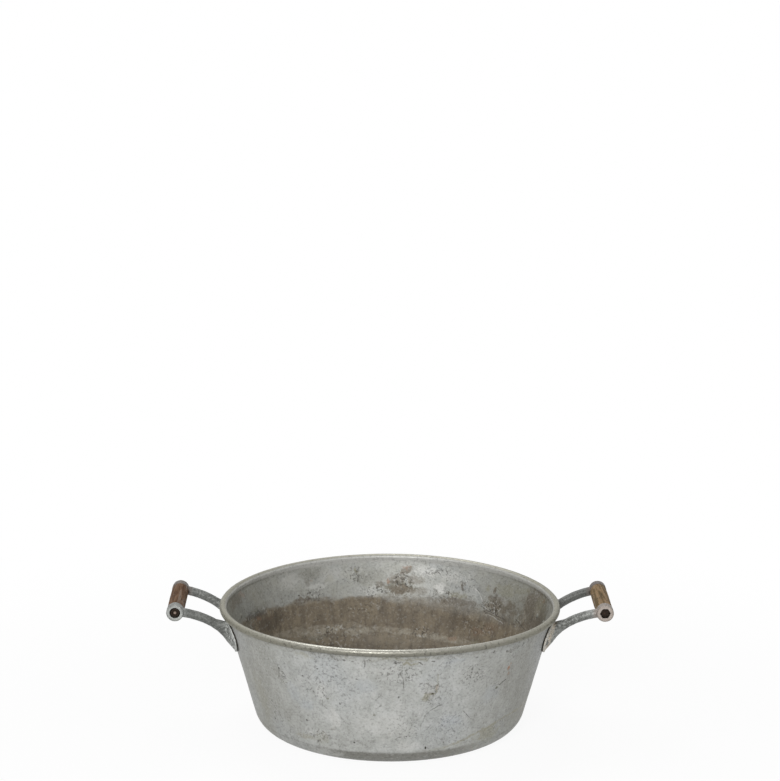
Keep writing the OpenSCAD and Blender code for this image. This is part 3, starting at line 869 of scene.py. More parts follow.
# Strokes by their paint: from azimuth and height to azimuth and height, half width in mm and strength
INNER_STROKES = {
    "zinc_pale": [(54.5, 133, 52.2, 128, 1.3, 0.9), (52.2, 128, 50.3, 119, 1.2, 0.8),
        (46, 104, 38, 98, 0.9, 0.4), (60, 148, 58.5, 138, 0.9, 0.5)],
    "deposit": [(145, 118, 144, 104, 1.6, 0.2)],
    "grime": [(50.3, 119, 49, 112, 1.1, 0.5), (53.5, 133, 51, 124, 0.9, 0.35),
        (50, 112, 42, 105, 1.1, 0.55), (42, 105, 37, 103, 1.0, 0.5), (48, 108, 40, 100, 0.9, 0.4),
        (60.5, 141, 60, 128, 1.0, 0.35), (31, 110, 22, 102, 0.9, 0.5), (46, 118, 44, 108, 0.8, 0.35),
        (139, 110, 150, 104, 0.8, 0.3)],
}
OUTER_STROKES = {
    "zinc_dark": [(-79, 62, -77.6, 40, 0.6, 0.4)],
    "zinc_olive": [(-73.9, 132, -73.5, 113, 0.9, 0.6)],
    "grime": [(-133.2, 123, -134.3, 109, 0.9, 0.4), (-142.8, 63, -137.9, 44, 0.7, 0.4),
        (-115.6, 102, -114.6, 96, 0.8, 0.5), (-116.4, 84, -114.6, 79, 0.8, 0.35),
        (-116, 90, -116.4, 84, 0.7, 0.4), (-95.8, 84, -93.5, 90, 0.8, 0.4),
        (-95.8, 96.5, -93.5, 105, 0.8, 0.3), (-86.6, 150, -86.1, 130, 0.6, 0.25),
        (-86.1, 130, -85.7, 114, 0.8, 0.55), (-61.7, 73, -58.6, 62, 0.7, 0.6),
        (-46.6, 100, -43.8, 104.5, 1.1, 0.8), (-78.5, 58, -77.2, 74, 0.8, 0.25),
        (-74.6, 82, -71.6, 87, 1.0, 0.5), (-77.2, 74, -74.6, 82, 0.9, 0.35), (-99, 152, -99, 144, 1.2, 0.5),
        (-88.4, 40, -86, 44, 0.7, 0.4)],
}
# The order in which the paints of the marks lie over each other
PAINTS = ("zinc_blue", "zinc_dark", "stain", "zinc_olive", "zinc_pale", "deposit", "rust", "grime")
# Where hair cracks and pits lie closest: azimuth, height, half width, half height (mm) and strength
CRACKED = [
    (-117, 110, 40, 34, 0.45), (-88, 135, 60, 26, 0.6), (-75, 108, 28, 36, 0.4), (-60, 125, 34, 24, 0.7),
    (-84, 60, 40, 30, 0.35), (-120, 36, 44, 20, 0.5), (-132, 116, 14, 20, 0.6), (-142, 55, 18, 20, 0.4),
    (-62, 40, 30, 16, 0.35), (-36, 150, 20, 10, 0.8), (-46, 146, 24, 12, 0.6),
    (120, 124, 34, 12, 0.9), (95, 120, 34, 12, 0.8), (84, 134, 26, 20, 0.9), (66, 118, 34, 14, 0.8),
    (45, 114, 34, 20, 0.9), (115, 72, 50, 12, 0.8), (75, 66, 40, 12, 0.9), (100, 98, 60, 14, 0.4),
    (103, 142, 34, 20, 0.6), (70, 146, 40, 16, 0.6), (28, 104, 24, 14, 0.6), (50, 84, 50, 20, 0.5),
]


def band(wires, height, middle, half_high, **more):
    """Mask of a level band round the wall, about the middle of a height and soft towards its edges."""
    return wires.use("Patch", Place=wires.combine(0.0, height), Centre=(0.0, middle, 0.0),
        Half_size=(1.0, half_high, 1.0), Softness=1.0, **more)


def side_marks(wires, colours, colour, near, far, torn, patches, strokes):
    """Paints one side's patches and strokes over a colour, one paint after the other."""
    for paint in PAINTS:
        masks = []
        for mark in patches.get(paint, ()):
            *shape, strength, softness = mark if len(mark) == 6 else (*mark, 1.0)
            broad = shape[2] > BROAD
            masks.append(wires.use("Patch", Place=far if broad else near, Softness=softness,
                Strength=strength, Ragged=torn if broad else 0.0, **oval(*shape)))
        for *ends, half_width, strength in strokes.get(paint, ()):
            masks.append(wires.use("Stroke", Place=near, Start=on_sheet(*ends[:2]), End=on_sheet(*ends[2:]),
                Half_width=half_width * MM, Strength=strength))
        if masks:
            colour = colour.mix(wires.most(*masks), getattr(colours, paint))
    return colour


def zinc_material(colours):
    """Dull zinc sheet: mottled, pitted and cracked outside, water lines, scale and brown stains inside."""
    material, wires, shader, spot = new_material("worn zinc sheet")
    x, y, z = wires.separate(spot)
    radius = wires.length(x, y)
    azimuth = wires.math("ARCTAN2", y, x)
    inner = wires.out("ShaderNodeAttribute", attribute_name="inner", pick="Fac")
    flat = wires.combine(azimuth * WALL_ARC, z)

    def shifted(scale, amount):
        offset = wires.noise(wires.vector("SCALE", spot, scale), 1.0, 3.0, 0.6)[1]
        offset = wires.vector("SUBTRACT", offset, (0.5, 0.5, 0.5))
        return wires.vector("ADD", flat, wires.vector("MULTIPLY", offset, (amount, amount, 0.0)))

    near, far = shifted(260.0, 0.004), shifted(80.0, 0.022)

    broad = wires.noise(spot, 11.0, 2.0, 0.5, 2.0)[0]
    middle = wires.noise(spot, 60.0, 5.0, 0.7, 5.0)[0]
    runs = wires.noise(wires.vector("MULTIPLY", spot, (1.0, 1.0, 0.14)), 90.0, 3.0, 0.6, 8.0)[0]
    grit = wires.noise(spot, 300.0, 3.0, 0.7, 1.0)[0]
    gritty = grit.ramp(0.34, 0.66)
    cover = gritty * 0.7 + 0.4
    torn = (wires.noise(spot, 130.0, 5.0, 0.75, 4.0)[0] - 0.5) * 2.0

    tone = wires.mix(middle.ramp(0.3, 0.72), colours.zinc_dark, colours.zinc_pale)
    tone = wires.mix(0.32, colours.zinc, tone)
    # Painted shade: the wall darkened towards its left and right flanks
    flank = (abs(x) / radius).ramp(0.4, 1.05)
    tone = tone.mix(flank * 0.8, colours.flank)
    tone = tone.mix(broad.ramp(0.45, 0.7) * 0.35, colours.zinc_blue)
    tone = tone.mix(runs.ramp(0.5, 0.7) * 0.18, colours.zinc_dark)
    tone = tone.mix(runs.ramp(0.5, 0.32) * 0.15, colours.zinc_pale)
    tone = tone.mix(grit.ramp(0.52, 0.68) * 0.28, colours.zinc_pale)
    tone = tone.mix(grit.ramp(0.48, 0.32) * 0.28, colours.zinc_dark)
    tone = tone.mix(broad.ramp(0.5, 0.3) * 0.2, colours.zinc_dark)

    crowds = [wires.use("Patch", Place=far, Softness=1.0, Strength=strength, **oval(*shape))
              for *shape, strength in CRACKED]
    crowd = wires.most(*crowds, broad.ramp(0.5, 0.7) * 0.4)
    hair = wires.use("Hair cracks", Vector=spot, Scale=150.0, Width=0.026, Cover=0.75)
    hair = hair * (crowd * 0.5 + 0.16)
    pits = wires.use("Speckle", Vector=spot, Scale=300.0, Cover=0.42, Softness=0.07, Seed=2.0)
    pits = pits * (crowd * 0.45 + 0.22)
    flecks = wires.use("Speckle", Vector=spot, Scale=270.0, Cover=0.42, Softness=0.08, Seed=6.0)
    flecks = flecks * (crowd * 0.45 + 0.14)

    # Water lines inside: the level stood a little higher on the left
    level = wires.vector("MULTIPLY", spot, (0.4, 0.4, 1.0))
    ragged = wires.noise(level, 70.0, 5.0, 0.7, 9.0)[0] - 0.5
    level_one = z + x * 0.034 + ragged * 0.022
    level_two = z + x * 0.081 + ragged * 0.036
    spread = x.ramp(-0.04, 0.1)
    below_one = level_one.ramp(0.107 - spread * 0.014, 0.117 + spread * 0.016, 1.0, 0.0)
    below_one = below_one * (below_one + torn).ramp(0.0, 0.5)
    below_two = level_two.ramp(0.062, 0.074, 1.0, 0.0)
    at_two = band(wires, level_two, 0.068, 0.009)
    inside = tone.mix(middle.ramp(0.35, 0.7) * 0.3, colours.zinc_olive)
    stained = wires.mix((middle + runs).ramp(0.75, 1.25), colours.stain, colours.stain_light)
    stained = stained.mix(runs.ramp(0.42, 0.3) * 0.25, colours.grime)
    stained = stained.mix(grit.ramp(0.45, 0.2) * 0.4, colours.grime)
    inside = inside.mix(below_one * 0.93, stained)
    crust = (ragged + torn * 0.6).ramp(-0.2, 0.25)
    scale = wires.most(below_two * 0.25, at_two * 0.8) * (crust * 0.75 + 0.15)
    inside = inside.mix(scale, colours.deposit)
    deep = z.ramp(0.03, 0.06, 1.0, 0.0) * broad.ramp(0.2, 0.65)
    inside = inside.mix(deep * 0.5, colours.grime)
    pool = (radius + torn * 0.012).ramp(0.1, 0.125, 1.0, 0.0)
    inside = inside.mix(pool * (middle * 0.8), colours.deposit)

    # Outside: the corner below the crease is darker, partly painted shade and partly dirt, most of it in
    # front, with an olive tide mark that climbs to the right
    middle_front = abs(azimuth + math.radians(88)).ramp(0.3, 0.9, 1.0, 0.0)
    crease_height = z + ragged * 0.004
    crease = crease_height.ramp(0.0175, 0.0215, 1.0, 0.0) * (middle_front * 0.66 + 0.04)
    dark_line = band(wires, crease_height, 0.0195, 0.0022, Ragged=torn * 0.4)
    crease = wires.most(crease, dark_line * 0.25)
    outside = tone.mix(crease, colours.crease)
    climb = azimuth.ramp(math.radians(-75), math.radians(-35))
    tide_at = climb * 0.024 + 0.0215
    tide_height = z - tide_at + ragged * 0.016
    tide = band(wires, tide_height, 0.0, 0.0034, Ragged=torn)
    right_side = azimuth.ramp(math.radians(-85), math.radians(-60))
    right_side = right_side * azimuth.ramp(math.radians(-10), math.radians(35), 1.0, 0.0)
    tide = tide * right_side * (cover * 0.65)
    outside = outside.mix(tide, colours.zinc_olive)
    below_tide = tide_height.ramp(-0.002, 0.001, 1.0, 0.0) * right_side * torn.ramp(-0.25, 0.25)
    outside = outside.mix(below_tide * 0.18, colours.zinc_olive)

    inside = side_marks(wires, colours, inside, near, far, torn, INNER_PATCHES, INNER_STROKES)
    outside = side_marks(wires, colours, outside, near, far, torn, OUTER_PATCHES, OUTER_STROKES)

    # Dirt under the rim, most of it in front
    front = abs(azimuth + math.radians(90)).ramp(0.2, 0.8, 1.0, 0.3)
    dirt_height = z + ragged * 0.014
    dirt = dirt_height.ramp(0.1495, 0.158) * radius.ramp(0.2195, 0.2225, 1.0, 0.0)
    dirt = dirt * front * (grit.ramp(0.42, 0.6) + 0.15)
    under = dirt_height.ramp(0.1505, 0.1555) * radius.ramp(0.2195, 0.2225, 1.0, 0.0) * torn.ramp(-0.2, 0.4)
    outside = outside.mix(under * 0.4, colours.zinc_olive)
    dirt = dirt * (torn + broad).ramp(0.35, 0.8)
    outside = outside.mix(dirt * 0.65, colours.grime)

    # Painted light: the inner wall lightened where it bends upright into the neck
    neck = z.ramp(0.158, 0.161) * inner
    inside = inside.mix(neck * 0.7, colours.zinc_pale)
    colour = outside.mix(inner, inside)
    colour = colour.mix(flecks, colours.zinc_pale)
    colour = colour.mix(pits, colours.grime)
    colour = colour.mix(hair, colours.grime)

    # Curled bead: lighter where it faces up and darker where it faces down, a painted highlight and painted
    # shade mixed with wear, with dirty specks below
    bead = z.ramp(0.158, 0.16) * radius.ramp(0.216, 0.218)
    facing_up = wires.separate(wires.out("ShaderNodeNewGeometry", pick="Normal"))[2] + inner * 0.5
    worn = (facing_up + torn * 0.5).ramp(0.0, 0.9)
    # Painted shade: the bead duller and more olive towards the flanks and the back
    handled = wires.most(flank, y.ramp(-0.1, 0.2) * 0.6)
    worn = worn * (1.0 - handled * 0.8)
    bead_tone = wires.mix(worn, colours.bead_dark, colours.bead)
    bead_tone = bead_tone.mix(grit.ramp(0.5, 0.3) * 0.3, colours.bead_dark)
    spots = wires.use("Speckle", Vector=spot, Scale=300.0, Cover=0.4, Softness=0.06, Seed=14.0)
    bead_tone = bead_tone.mix(spots * (0.7 - worn * 0.5), colours.grime)
    bead_tone = bead_tone.mix(handled * 0.3, colours.zinc_olive)
    # Painted shadow along the bead's far edge at the back
    far_edge = y.ramp(0.0, 0.1) * radius.ramp(0.22, 0.2225)
    bead_tone = bead_tone.mix(far_edge * 0.6, colours.grime)
    colour = colour.mix(bead * 0.92, bead_tone)
    wires.fill(shader, Base_Color=colour)

    dull = below_one * inner
    rough = middle * 0.3 + 0.36 + dull * 0.2 - bead * worn * 0.26
    wires.fill(shader, Roughness=rough)
    metal = 0.4 - inner * 0.12 - dull * 0.16 + bead * 0.2
    wires.fill(shader, Metallic=metal)
    relief = middle + flecks - (pits + hair)
    rough_normal = bump(wires, relief, 0.8 * MM, 0.4)
    wires.fill(shader, Normal=bump(wires, grit, 0.5 * MM, 0.35, Normal=rough_normal))
    return material


def wire_material(colours):
    """Drawn steel wire, lightly rusted."""
    material, wires, shader, spot = new_material("drawn wire")
    grain = wires.use("Grain", Vector=spot, Stretch=(0.3, 0.3, 1.0), Scale=600.0)
    rust = wires.use("Speckle", Vector=spot, Scale=180.0, Cover=0.5)
    tone = wires.mix(grain[0], colours.steel_bright, colours.zinc_dark)
    wires.fill(shader, Base_Color=tone.mix(rust, colours.steel), Roughness=grain[0].ramp(0.0, 1.0, 0.35, 0.6),
        Metallic=0.8, Normal=bump(wires, grain[1], 0.2 * MM, 0.4))
    return material


def cast_material(colours, sheet, rivets):
    """Rough grey casting: bright worn tips, dark pores, painted shadow along the pad's edge and round the
    rivets, painted highlight on the pad's edge and the front eyes, and painted shade in the eye pockets and
    round the eyes.
    """
    material, wires, shader, spot = new_material("rough casting")
    wear = wires.use("Edge wear", Vector=spot, Scale=400.0, Spread=0.06)
    x, y, z = wires.separate(spot)
    radius = wires.length(x, y)
    stand_off = off_wall(sheet, radius, z)
    near_eye = abs(x).ramp(0.262, 0.27)
    mottle = wires.noise(spot, 320.0, 4.0, 0.7, 1.0)[0]
    coarse = wires.noise(spot, 55.0, 3.0, 0.6, 2.0)[0]
    tone = wires.mix(mottle.ramp(0.3, 0.62), colours.cast_dark, colours.cast)
    tone = tone.mix(coarse.ramp(0.5, 0.72) * 0.45, colours.cast_bright)
    tone = tone.mix(coarse.ramp(0.46, 0.3) * 0.4, colours.cast_dark)
    near_pad = stand_off.ramp(4 * MM, 9 * MM, 1.0, 0.0)
    to_right, to_front = x.ramp(-0.1, 0.1), y.ramp(-0.02, 0.02, 1.0, 0.0)
    warm = near_pad * to_right * mottle.ramp(0.3, 0.52)
    tone = tone.mix(warm * 0.95, colours.cast_warm)
    bright = wires.use("Speckle", Vector=spot, Scale=480.0, Cover=0.4, Softness=0.06, Seed=2.0)
    bright = bright * (near_pad + 1.0)
    tone = tone.mix(bright * 0.5, colours.cast_bright)
    pores = wires.use("Speckle", Vector=spot, Scale=380.0, Cover=0.38, Softness=0.06, Seed=5.0)
    pores = pores * (near_pad * 0.6 + 0.5)
    tone = tone.mix(pores, colours.cast_dark)
    tone = tone.mix(wear[1] * 0.4, colours.grime)
    tone = tone.mix(wear[0] * 0.5, colours.cast_bright)
    y_out = abs(y)
    from_axis = wires.length(abs(x) - GRIP_MIDDLE.x, z - GRIP_MIDDLE.z)
    # Painted highlight on the front eyes' faces, strongest towards the pocket
    ring = near_eye * to_front * from_axis.ramp(8.6 * MM, 10 * MM, 0.4, 0.2)
    tone = tone.mix(ring, colours.cast_bright)
    behind = 1.0 - to_front
    tone = tone.mix(behind * (to_right * 0.12 + 0.27), colours.cast_dark)
    bar = stand_off.ramp(6 * MM, 12 * MM) * (1.0 - near_eye)
    crossed = abs(to_front - to_right)
    bar = bar * (crossed * 0.25 + 0.32)
    tone = tone.mix(bar, colours.cast_dark)
    rosy = near_eye * (to_right * to_front)
    tone = tone.mix(rosy * 0.6, colours.eye_front)
    dull = near_eye * behind
    tone = tone.mix(dull * 0.8, colours.eye_rear)
    # Painted shade: the eye pockets made nearly black
    pocket = from_axis.ramp(6.6 * MM, 7.4 * MM, 1.0, 0.0) * y_out.ramp(0.057, 0.0582, 1.0, 0.0)
    tone = tone.mix(pocket * 0.92, colours.grime)
    # Painted shade round the outer edge of the eyes
    rim = near_eye * from_axis.ramp(9.2 * MM, 11 * MM)
    tone = tone.mix(rim * 0.35, colours.cast_dark)
    # Painted highlight on the side face of the pad's edge
    edge = stand_off.ramp(1.6 * MM, 2.2 * MM) * stand_off.ramp(3.2 * MM, 3.9 * MM, 1.0, 0.0)
    tone = tone.mix(edge * 0.45, colours.cast_bright)
    # Painted shadow in the gap along the pad's edge and in rings round the rivet heads
    gap = stand_off.ramp(1.3 * MM, 2.0 * MM, 1.0, 0.0)
    folded = wires.combine(abs(x), y_out, z)
    for middle in rivets:
        away = wires.vector("DISTANCE", folded, tuple(middle))
        ring = away.ramp(3.0 * MM, 3.6 * MM) * away.ramp(4.4 * MM, 5.6 * MM, 1.0, 0.0)
        gap = wires.most(gap, ring * 0.85)
    tone = tone.mix(gap, colours.grime)
    wires.fill(shader, Base_Color=tone, Roughness=mottle.ramp(0.3, 0.7, 0.65, 0.45),
        Metallic=wear[0].ramp(0.0, 1.0, 0.3, 0.6), Normal=bump(wires, mottle - pores, 0.5 * MM, 0.4))
    return material


def rivet_material(colours):
    """Dull hammered rivet heads; the dark rings round them are painted shadow on the casting."""
    material, wires, shader, spot = new_material("hammered rivet")
    mottle = wires.noise(spot, 260.0, 3.0, 0.6, 3.0)[0]
    wear = wires.use("Edge wear", Vector=spot, Scale=500.0, Spread=0.08)
    tone = wires.mix(mottle.ramp(0.35, 0.65), colours.cast_dark, colours.cast)
    tone = tone.mix(wear[0] * 0.5, colours.cast_bright)
    tone = tone.mix(wear[1] * 0.35, colours.grime)
    x, y, _ = wires.separate(spot)
    inside = wires.length(x, y).ramp(0.2085, 0.2095, 1.0, 0.0)
    tone = tone.mix(inside * 0.75, colours.zinc_dark)
    wires.fill(shader, Base_Color=tone, Roughness=mottle.ramp(0.3, 0.7, 0.4, 0.6), Metallic=0.35,
        Normal=bump(wires, mottle, 0.4 * MM, 0.5))
    return material


def wood_material(name, colours, main, dark, seed):
    """Bare weathered wood with its grain along the grip, dark chips and greyed streaks."""
    material, wires, shader, spot = new_material(name)
    grain = wires.use("Grain", Vector=spot, Stretch=(1.0, 0.09, 1.0), Scale=330.0, Seed=seed)
    tone = wires.mix(grain[0] * 0.75, main, dark)
    streaks = wires.use("Grain", Vector=spot, Stretch=(1.0, 0.05, 1.0), Scale=180.0, Seed=seed + 4.0)[0]
    grey = streaks.ramp(0.72, 1.0) * 0.35
    tone = tone.mix(grey, colours.wood_grey)
    chips = wires.use("Speckle", Vector=wires.vector("MULTIPLY", spot, (1.0, 0.4, 1.0)), Scale=210.0,
        Cover=0.34, Softness=0.08, Seed=seed + 1.0)
    tone = tone.mix(chips * 0.8, dark)
    worm = wires.use("Speckle", Vector=spot, Scale=260.0, Cover=0.16, Softness=0.04, Seed=seed + 2.0)
    tone = tone.mix(worm * 0.9, colours.grime)
    wires.fill(shader, Base_Color=tone, Roughness=grain[0].ramp(0.0, 1.0, 0.62, 0.85),
        Specular_IOR_Level=0.22)
    height = grain[1] + grain[0] * -0.6 - chips
    wires.fill(shader, Normal=bump(wires, height, 0.5 * MM, 0.5))
    return material


def steel_material(colours):
    """Dark rusted steel of the tie bolts and nuts."""
    material, wires, shader, spot = new_material("rusted steel")
    rust = wires.noise(spot, 240.0, 4.0, 0.65, 6.0)[0]
    speckle = wires.use("Speckle", Vector=spot, Scale=500.0, Cover=0.3, Softness=0.06, Seed=9.0)
    wear = wires.use("Edge wear", Vector=spot, Scale=500.0, Spread=0.1)
    tone = wires.mix(rust.ramp(0.45, 0.8), colours.steel, colours.grime)
    tone = tone.mix(speckle * 0.12, colours.rust)
    tone = tone.mix(wear[0] * 0.06, colours.steel_bright)
    x, y, z = wires.separate(spot)
    # Painted glint: a rosy spot on the rod's end in the left front eye
    end = wires.length(x + GRIP_MIDDLE.x, z - GRIP_MIDDLE.z)
    end = end.ramp(0.8 * MM, 2.4 * MM, 1.0, 0.0) * y.ramp(-0.03, 0.0, 1.0, 0.0)
    tone = tone.mix(end * 0.7, colours.eye_front)
    wires.fill(shader, Base_Color=tone, Roughness=rust.ramp(0.3, 0.7, 0.45, 0.8),
        Metallic=rust.ramp(0.35, 0.65, 0.12, 0.0), Specular_IOR_Level=0.05,
        Normal=bump(wires, rust, 0.4 * MM, 0.5))
    return material


def side_sign(side):
    """+1 for the right handle and -1 for the left, which is the right one turned half round."""
    return 1 if side == "right" else -1


def on_axis(side, along):
    """Place and turn of a piece of a tie bolt that begins this far along the axis of its grip."""
    sign = side_sign(side)
    place = (sign * GRIP_MIDDLE.x, sign * along, GRIP_MIDDLE.z)
    return {"Place": place, "Turn": 0.0 if sign > 0 else math.pi}


class BASIN_OT_zinc_sheet(bpy.types.Operator):
    """Make the zinc sheet: bottom, wall, neck and curled rim in one piece"""

    bl_idname = "basin.zinc_sheet"
    bl_label = "Zinc sheet"

    def execute(self, context):
        s = context.scene.basin_sheet
        material = zinc_material(context.scene.basin_colours)
        sheet = section_object("zinc_sheet", sheet_section(s))
        make_piece(sheet, "Zinc sheet", "basin", "basin_shell", "zinc_sheet", material, Steps=s.steps,
            Warp=s.warp, Warp_from=s.warp_low, Warp_to=s.warp_high, Wave=s.wave, Bead_wave=s.bead_wave,
            Bead_height=s.height - 2 * (s.wire_radius + s.thickness) - s.wire_play, Seed=s.seed)
        return {"FINISHED"}


class BASIN_OT_rim_wire(bpy.types.Operator):
    """Make the wire that the rim is curled over"""

    bl_idname = "basin.rim_wire"
    bl_label = "Rim wire"

    def execute(self, context):
        s = context.scene.basin_sheet
        material = wire_material(context.scene.basin_colours)
        wire = section_object("rim_wire_round", wire_section(s))
        make_piece(wire, "Rim wire", "basin", "rim_wire", "wire", material, Steps=192, Warp=s.warp,
            Warp_from=s.warp_low, Warp_to=s.warp_high)
        return {"FINISHED"}


class BASIN_OT_cast_arms(bpy.types.Operator):
    """Make the four cast arms from their solids, roughened as sand castings are"""

    bl_idname = "basin.cast_arms"
    bl_label = "Cast arms"

    def execute(self, context):
        h = context.scene.basin_handles
        sheet = context.scene.basin_sheet
        material = cast_material(context.scene.basin_colours, sheet, solid_middles("right_rear_rivets"))
        for number, (side, end) in enumerate(CORNERS):
            node = f"{side}_{end}_arm"
            shape = welded(node)
            rivets = solid_middles(f"{side}_{end}_rivets")
            middle = (rivets[0] + rivets[1]) / 2 + Vector((0.0, 0.0, h.pad_rise))
            fill_out_pad(sheet, h, shape, middle, start=19.5 * MM, end=24 * MM)
            mesh = bpy.data.meshes.new(f"{side}_{end}_casting")
            shape.to_mesh(mesh)
            shape.free()
            arm = in_scene(mesh.name, mesh)
            remesh = arm.modifiers.new("even faces", "REMESH")
            remesh.mode, remesh.voxel_size = "VOXEL", h.cast_voxel
            soften = arm.modifiers.new("worn edges", "SMOOTH")
            soften.factor, soften.iterations = 0.5, h.cast_soften
            make_piece(arm, "Sand casting", "basin", node, "cast_arm", material, Roughness=h.cast_rough,
                Lumps=h.cast_lumps, Seed=h.seed + number)
        return {"FINISHED"}


class BASIN_OT_rivets(bpy.types.Operator):
    """Make the rivets that hold each arm's pad to the wall"""

    bl_idname = "basin.rivets"
    bl_label = "Rivets"

    def execute(self, context):
        s, h = context.scene.basin_sheet, context.scene.basin_handles
        material = rivet_material(context.scene.basin_colours)
        section = section_object("rivet_section", rivet_section(
            radius=h.rivet_radius, shank=2.5 * MM, out=3.56 * MM, inside=s.thickness + 0.06 * MM,
            head=2.2 * MM, tail=1.4 * MM))
        tilt = Vector((math.cos(s.lean), 0.0, -math.sin(s.lean)))
        for number, (side, end) in enumerate(CORNERS):
            node = f"{side}_{end}_rivets"
            places, ways = [], []
            for middle in solid_middles(node):
                around = Matrix.Rotation(math.atan2(middle.y, middle.x), 3, "Z")
                out = around @ tilt
                places.append(middle - out * (1.2 * MM))
                ways.append(out)
            mesh = bpy.data.meshes.new(f"{side}_{end}_rivet_pair")
            mesh.from_pydata([on_wall(s, p, w) for p, w in zip(places, ways)], [], [])
            mesh.attributes.new("outward", "FLOAT_VECTOR", "POINT").data.foreach_set(
                "vector", [c for w in ways for c in w])
            rivets = in_scene(mesh.name, mesh)
            make_piece(rivets, "Riveting", "basin", node, "rivet", material, Section=section, Steps=40,
                Dents=h.rivet_dents, Seed=h.seed + number)
        bpy.data.objects.remove(section)
        return {"FINISHED"}


def fill_out_pad(s, h, shape, middle, start, end):
    """Spreads a pad's outline sideways along the wall, outside its rivets, fuller below than above."""
    for vert in shape.verts:
        radius = math.hypot(vert.co.x, vert.co.y)
        if off_wall(s, radius, vert.co.z) > h.pad_top:
            continue
        azimuth = math.atan2(vert.co.y, vert.co.x)
        across = math.remainder(azimuth - math.atan2(middle.y, middle.x), math.tau) * radius
        up = (vert.co.z - middle.z) / math.cos(s.lean)
        away = math.hypot(across, up)
        share = min(max((away - start) / (end - start), 0.0), 1.0) * min(max(1.0 - up / start, 0.0), 1.0)
        azimuth += h.pad_more * share * across / away / radius
        vert.co.x, vert.co.y = radius * math.cos(azimuth), radius * math.sin(azimuth)


def welded(node):
    """A CAD node's mesh for editing, its equal vertices joined."""
    shape = bmesh.new()
    shape.from_mesh(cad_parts[node].data)
    bmesh.ops.remove_doubles(shape, verts=shape.verts, dist=WELD)
    return shape


def solid_middles(node):
    """Middles of the separate solids of a CAD node, each from its own bounds."""
    shape = welded(node)
    left, middles = set(shape.verts), []
    while left:
        front = [left.pop()]
        island = list(front)
        while front:
            vert = front.pop()
            for edge in vert.link_edges:
                other = edge.other_vert(vert)
                if other in left:
                    left.discard(other)
                    front.append(other)
                    island.append(other)
        low = Vector(min(v.co[i] for v in island) for i in range(3))
        high = Vector(max(v.co[i] for v in island) for i in range(3))
        middles.append((low + high) / 2)
    shape.free()
    return sorted(middles, key=lambda m: m.y)


def on_wall(s, point, out):
    """Where the line through a point along the wall's normal meets the wall's outside."""
    return point - out * off_wall(s, math.hypot(point.x, point.y), point.z)


class BASIN_OT_wooden_grips(bpy.types.Operator):
    """Make the two turned wooden grips"""

    bl_idname = "basin.wooden_grips"
    bl_label = "Wooden grips"

    def execute(self, context):
        h, colours = context.scene.basin_handles, context.scene.basin_colours
        bore, radius = 3.6 * MM, (GRIP_HIGH.x - GRIP_LOW.x) / 2
        half = (GRIP_HIGH.y - GRIP_LOW.y) / 2
        woods = {
            "left": wood_material(
                "reddish weathered wood", colours, colours.wood_left, colours.wood_left_dark, 2.0),
            "right": wood_material(
                "tan weathered wood", colours, colours.wood_right, colours.wood_right_dark, 11.0),
        }
        for side, wood in woods.items():
            grip = section_object(f"{side}_roller", grip_section(bore, radius, half, edge=1.6 * MM))
            make_piece(grip, "Wooden grip", f"{side}_grip", f"{side}_grip", "grip_wood", wood, Steps=160,
                Bore=bore, Half_length=half, Grain=h.grain_depth, Chips=h.chip_depth, Barrel=h.barrel,
                Place=(side_sign(side) * GRIP_MIDDLE.x, 0.0, GRIP_MIDDLE.z), Seed=h.seed + side_sign(side))
        return {"FINISHED"}


class BASIN_OT_tie_bolts(bpy.types.Operator):
    """Make the tie bolts: six-sided heads and threaded ends"""

    bl_idname = "basin.tie_bolts"
    bl_label = "Tie bolts"

    def execute(self, context):
        h = context.scene.basin_handles
        material = steel_material(context.scene.basin_colours)
        seat = NUT_LOW.y
        length = BOLT_HIGH.y + seat
        head = BOLT_LOW.y + seat
        for side in ("left", "right"):
            bolt = section_object(f"{side}_tie_rod", shank_section(
                radius=3.5 * MM, start=-0.2 * MM, end=length, thread_from=length - 16 * MM))
            head_section = section_object(
                "bolt_head_section", six_sided_section(bore=0.0, low=head, high=0.0))
            make_piece(bolt, "Tie bolt", "basin", f"{side}_tie_bolt", "bolt_steel", material,
                Head_section=head_section, Steps=48, Flat_distance=FLAT, Thread_from=length - 15 * MM,
                Pitch=h.thread_pitch, Depth=h.thread_depth, **on_axis(side, -seat))
            bpy.data.objects.remove(head_section)
        return {"FINISHED"}


class BASIN_OT_tie_nuts(bpy.types.Operator):
    """Make the nuts of the tie bolts"""

    bl_idname = "basin.tie_nuts"
    bl_label = "Tie nuts"

    def execute(self, context):
        material = bpy.data.materials.get("rusted steel") or steel_material(context.scene.basin_colours)
        for side in ("left", "right"):
            nut = section_object(f"{side}_hex_nut", six_sided_section(
                bore=3.55 * MM, low=0.0, high=NUT_HIGH.y - NUT_LOW.y))
            make_piece(nut, "Tie nut", "basin", f"{side}_tie_nut", "bolt_steel", material, Steps=96,
                Flat_distance=FLAT, **on_axis(side, NUT_LOW.y))
        return {"FINISHED"}


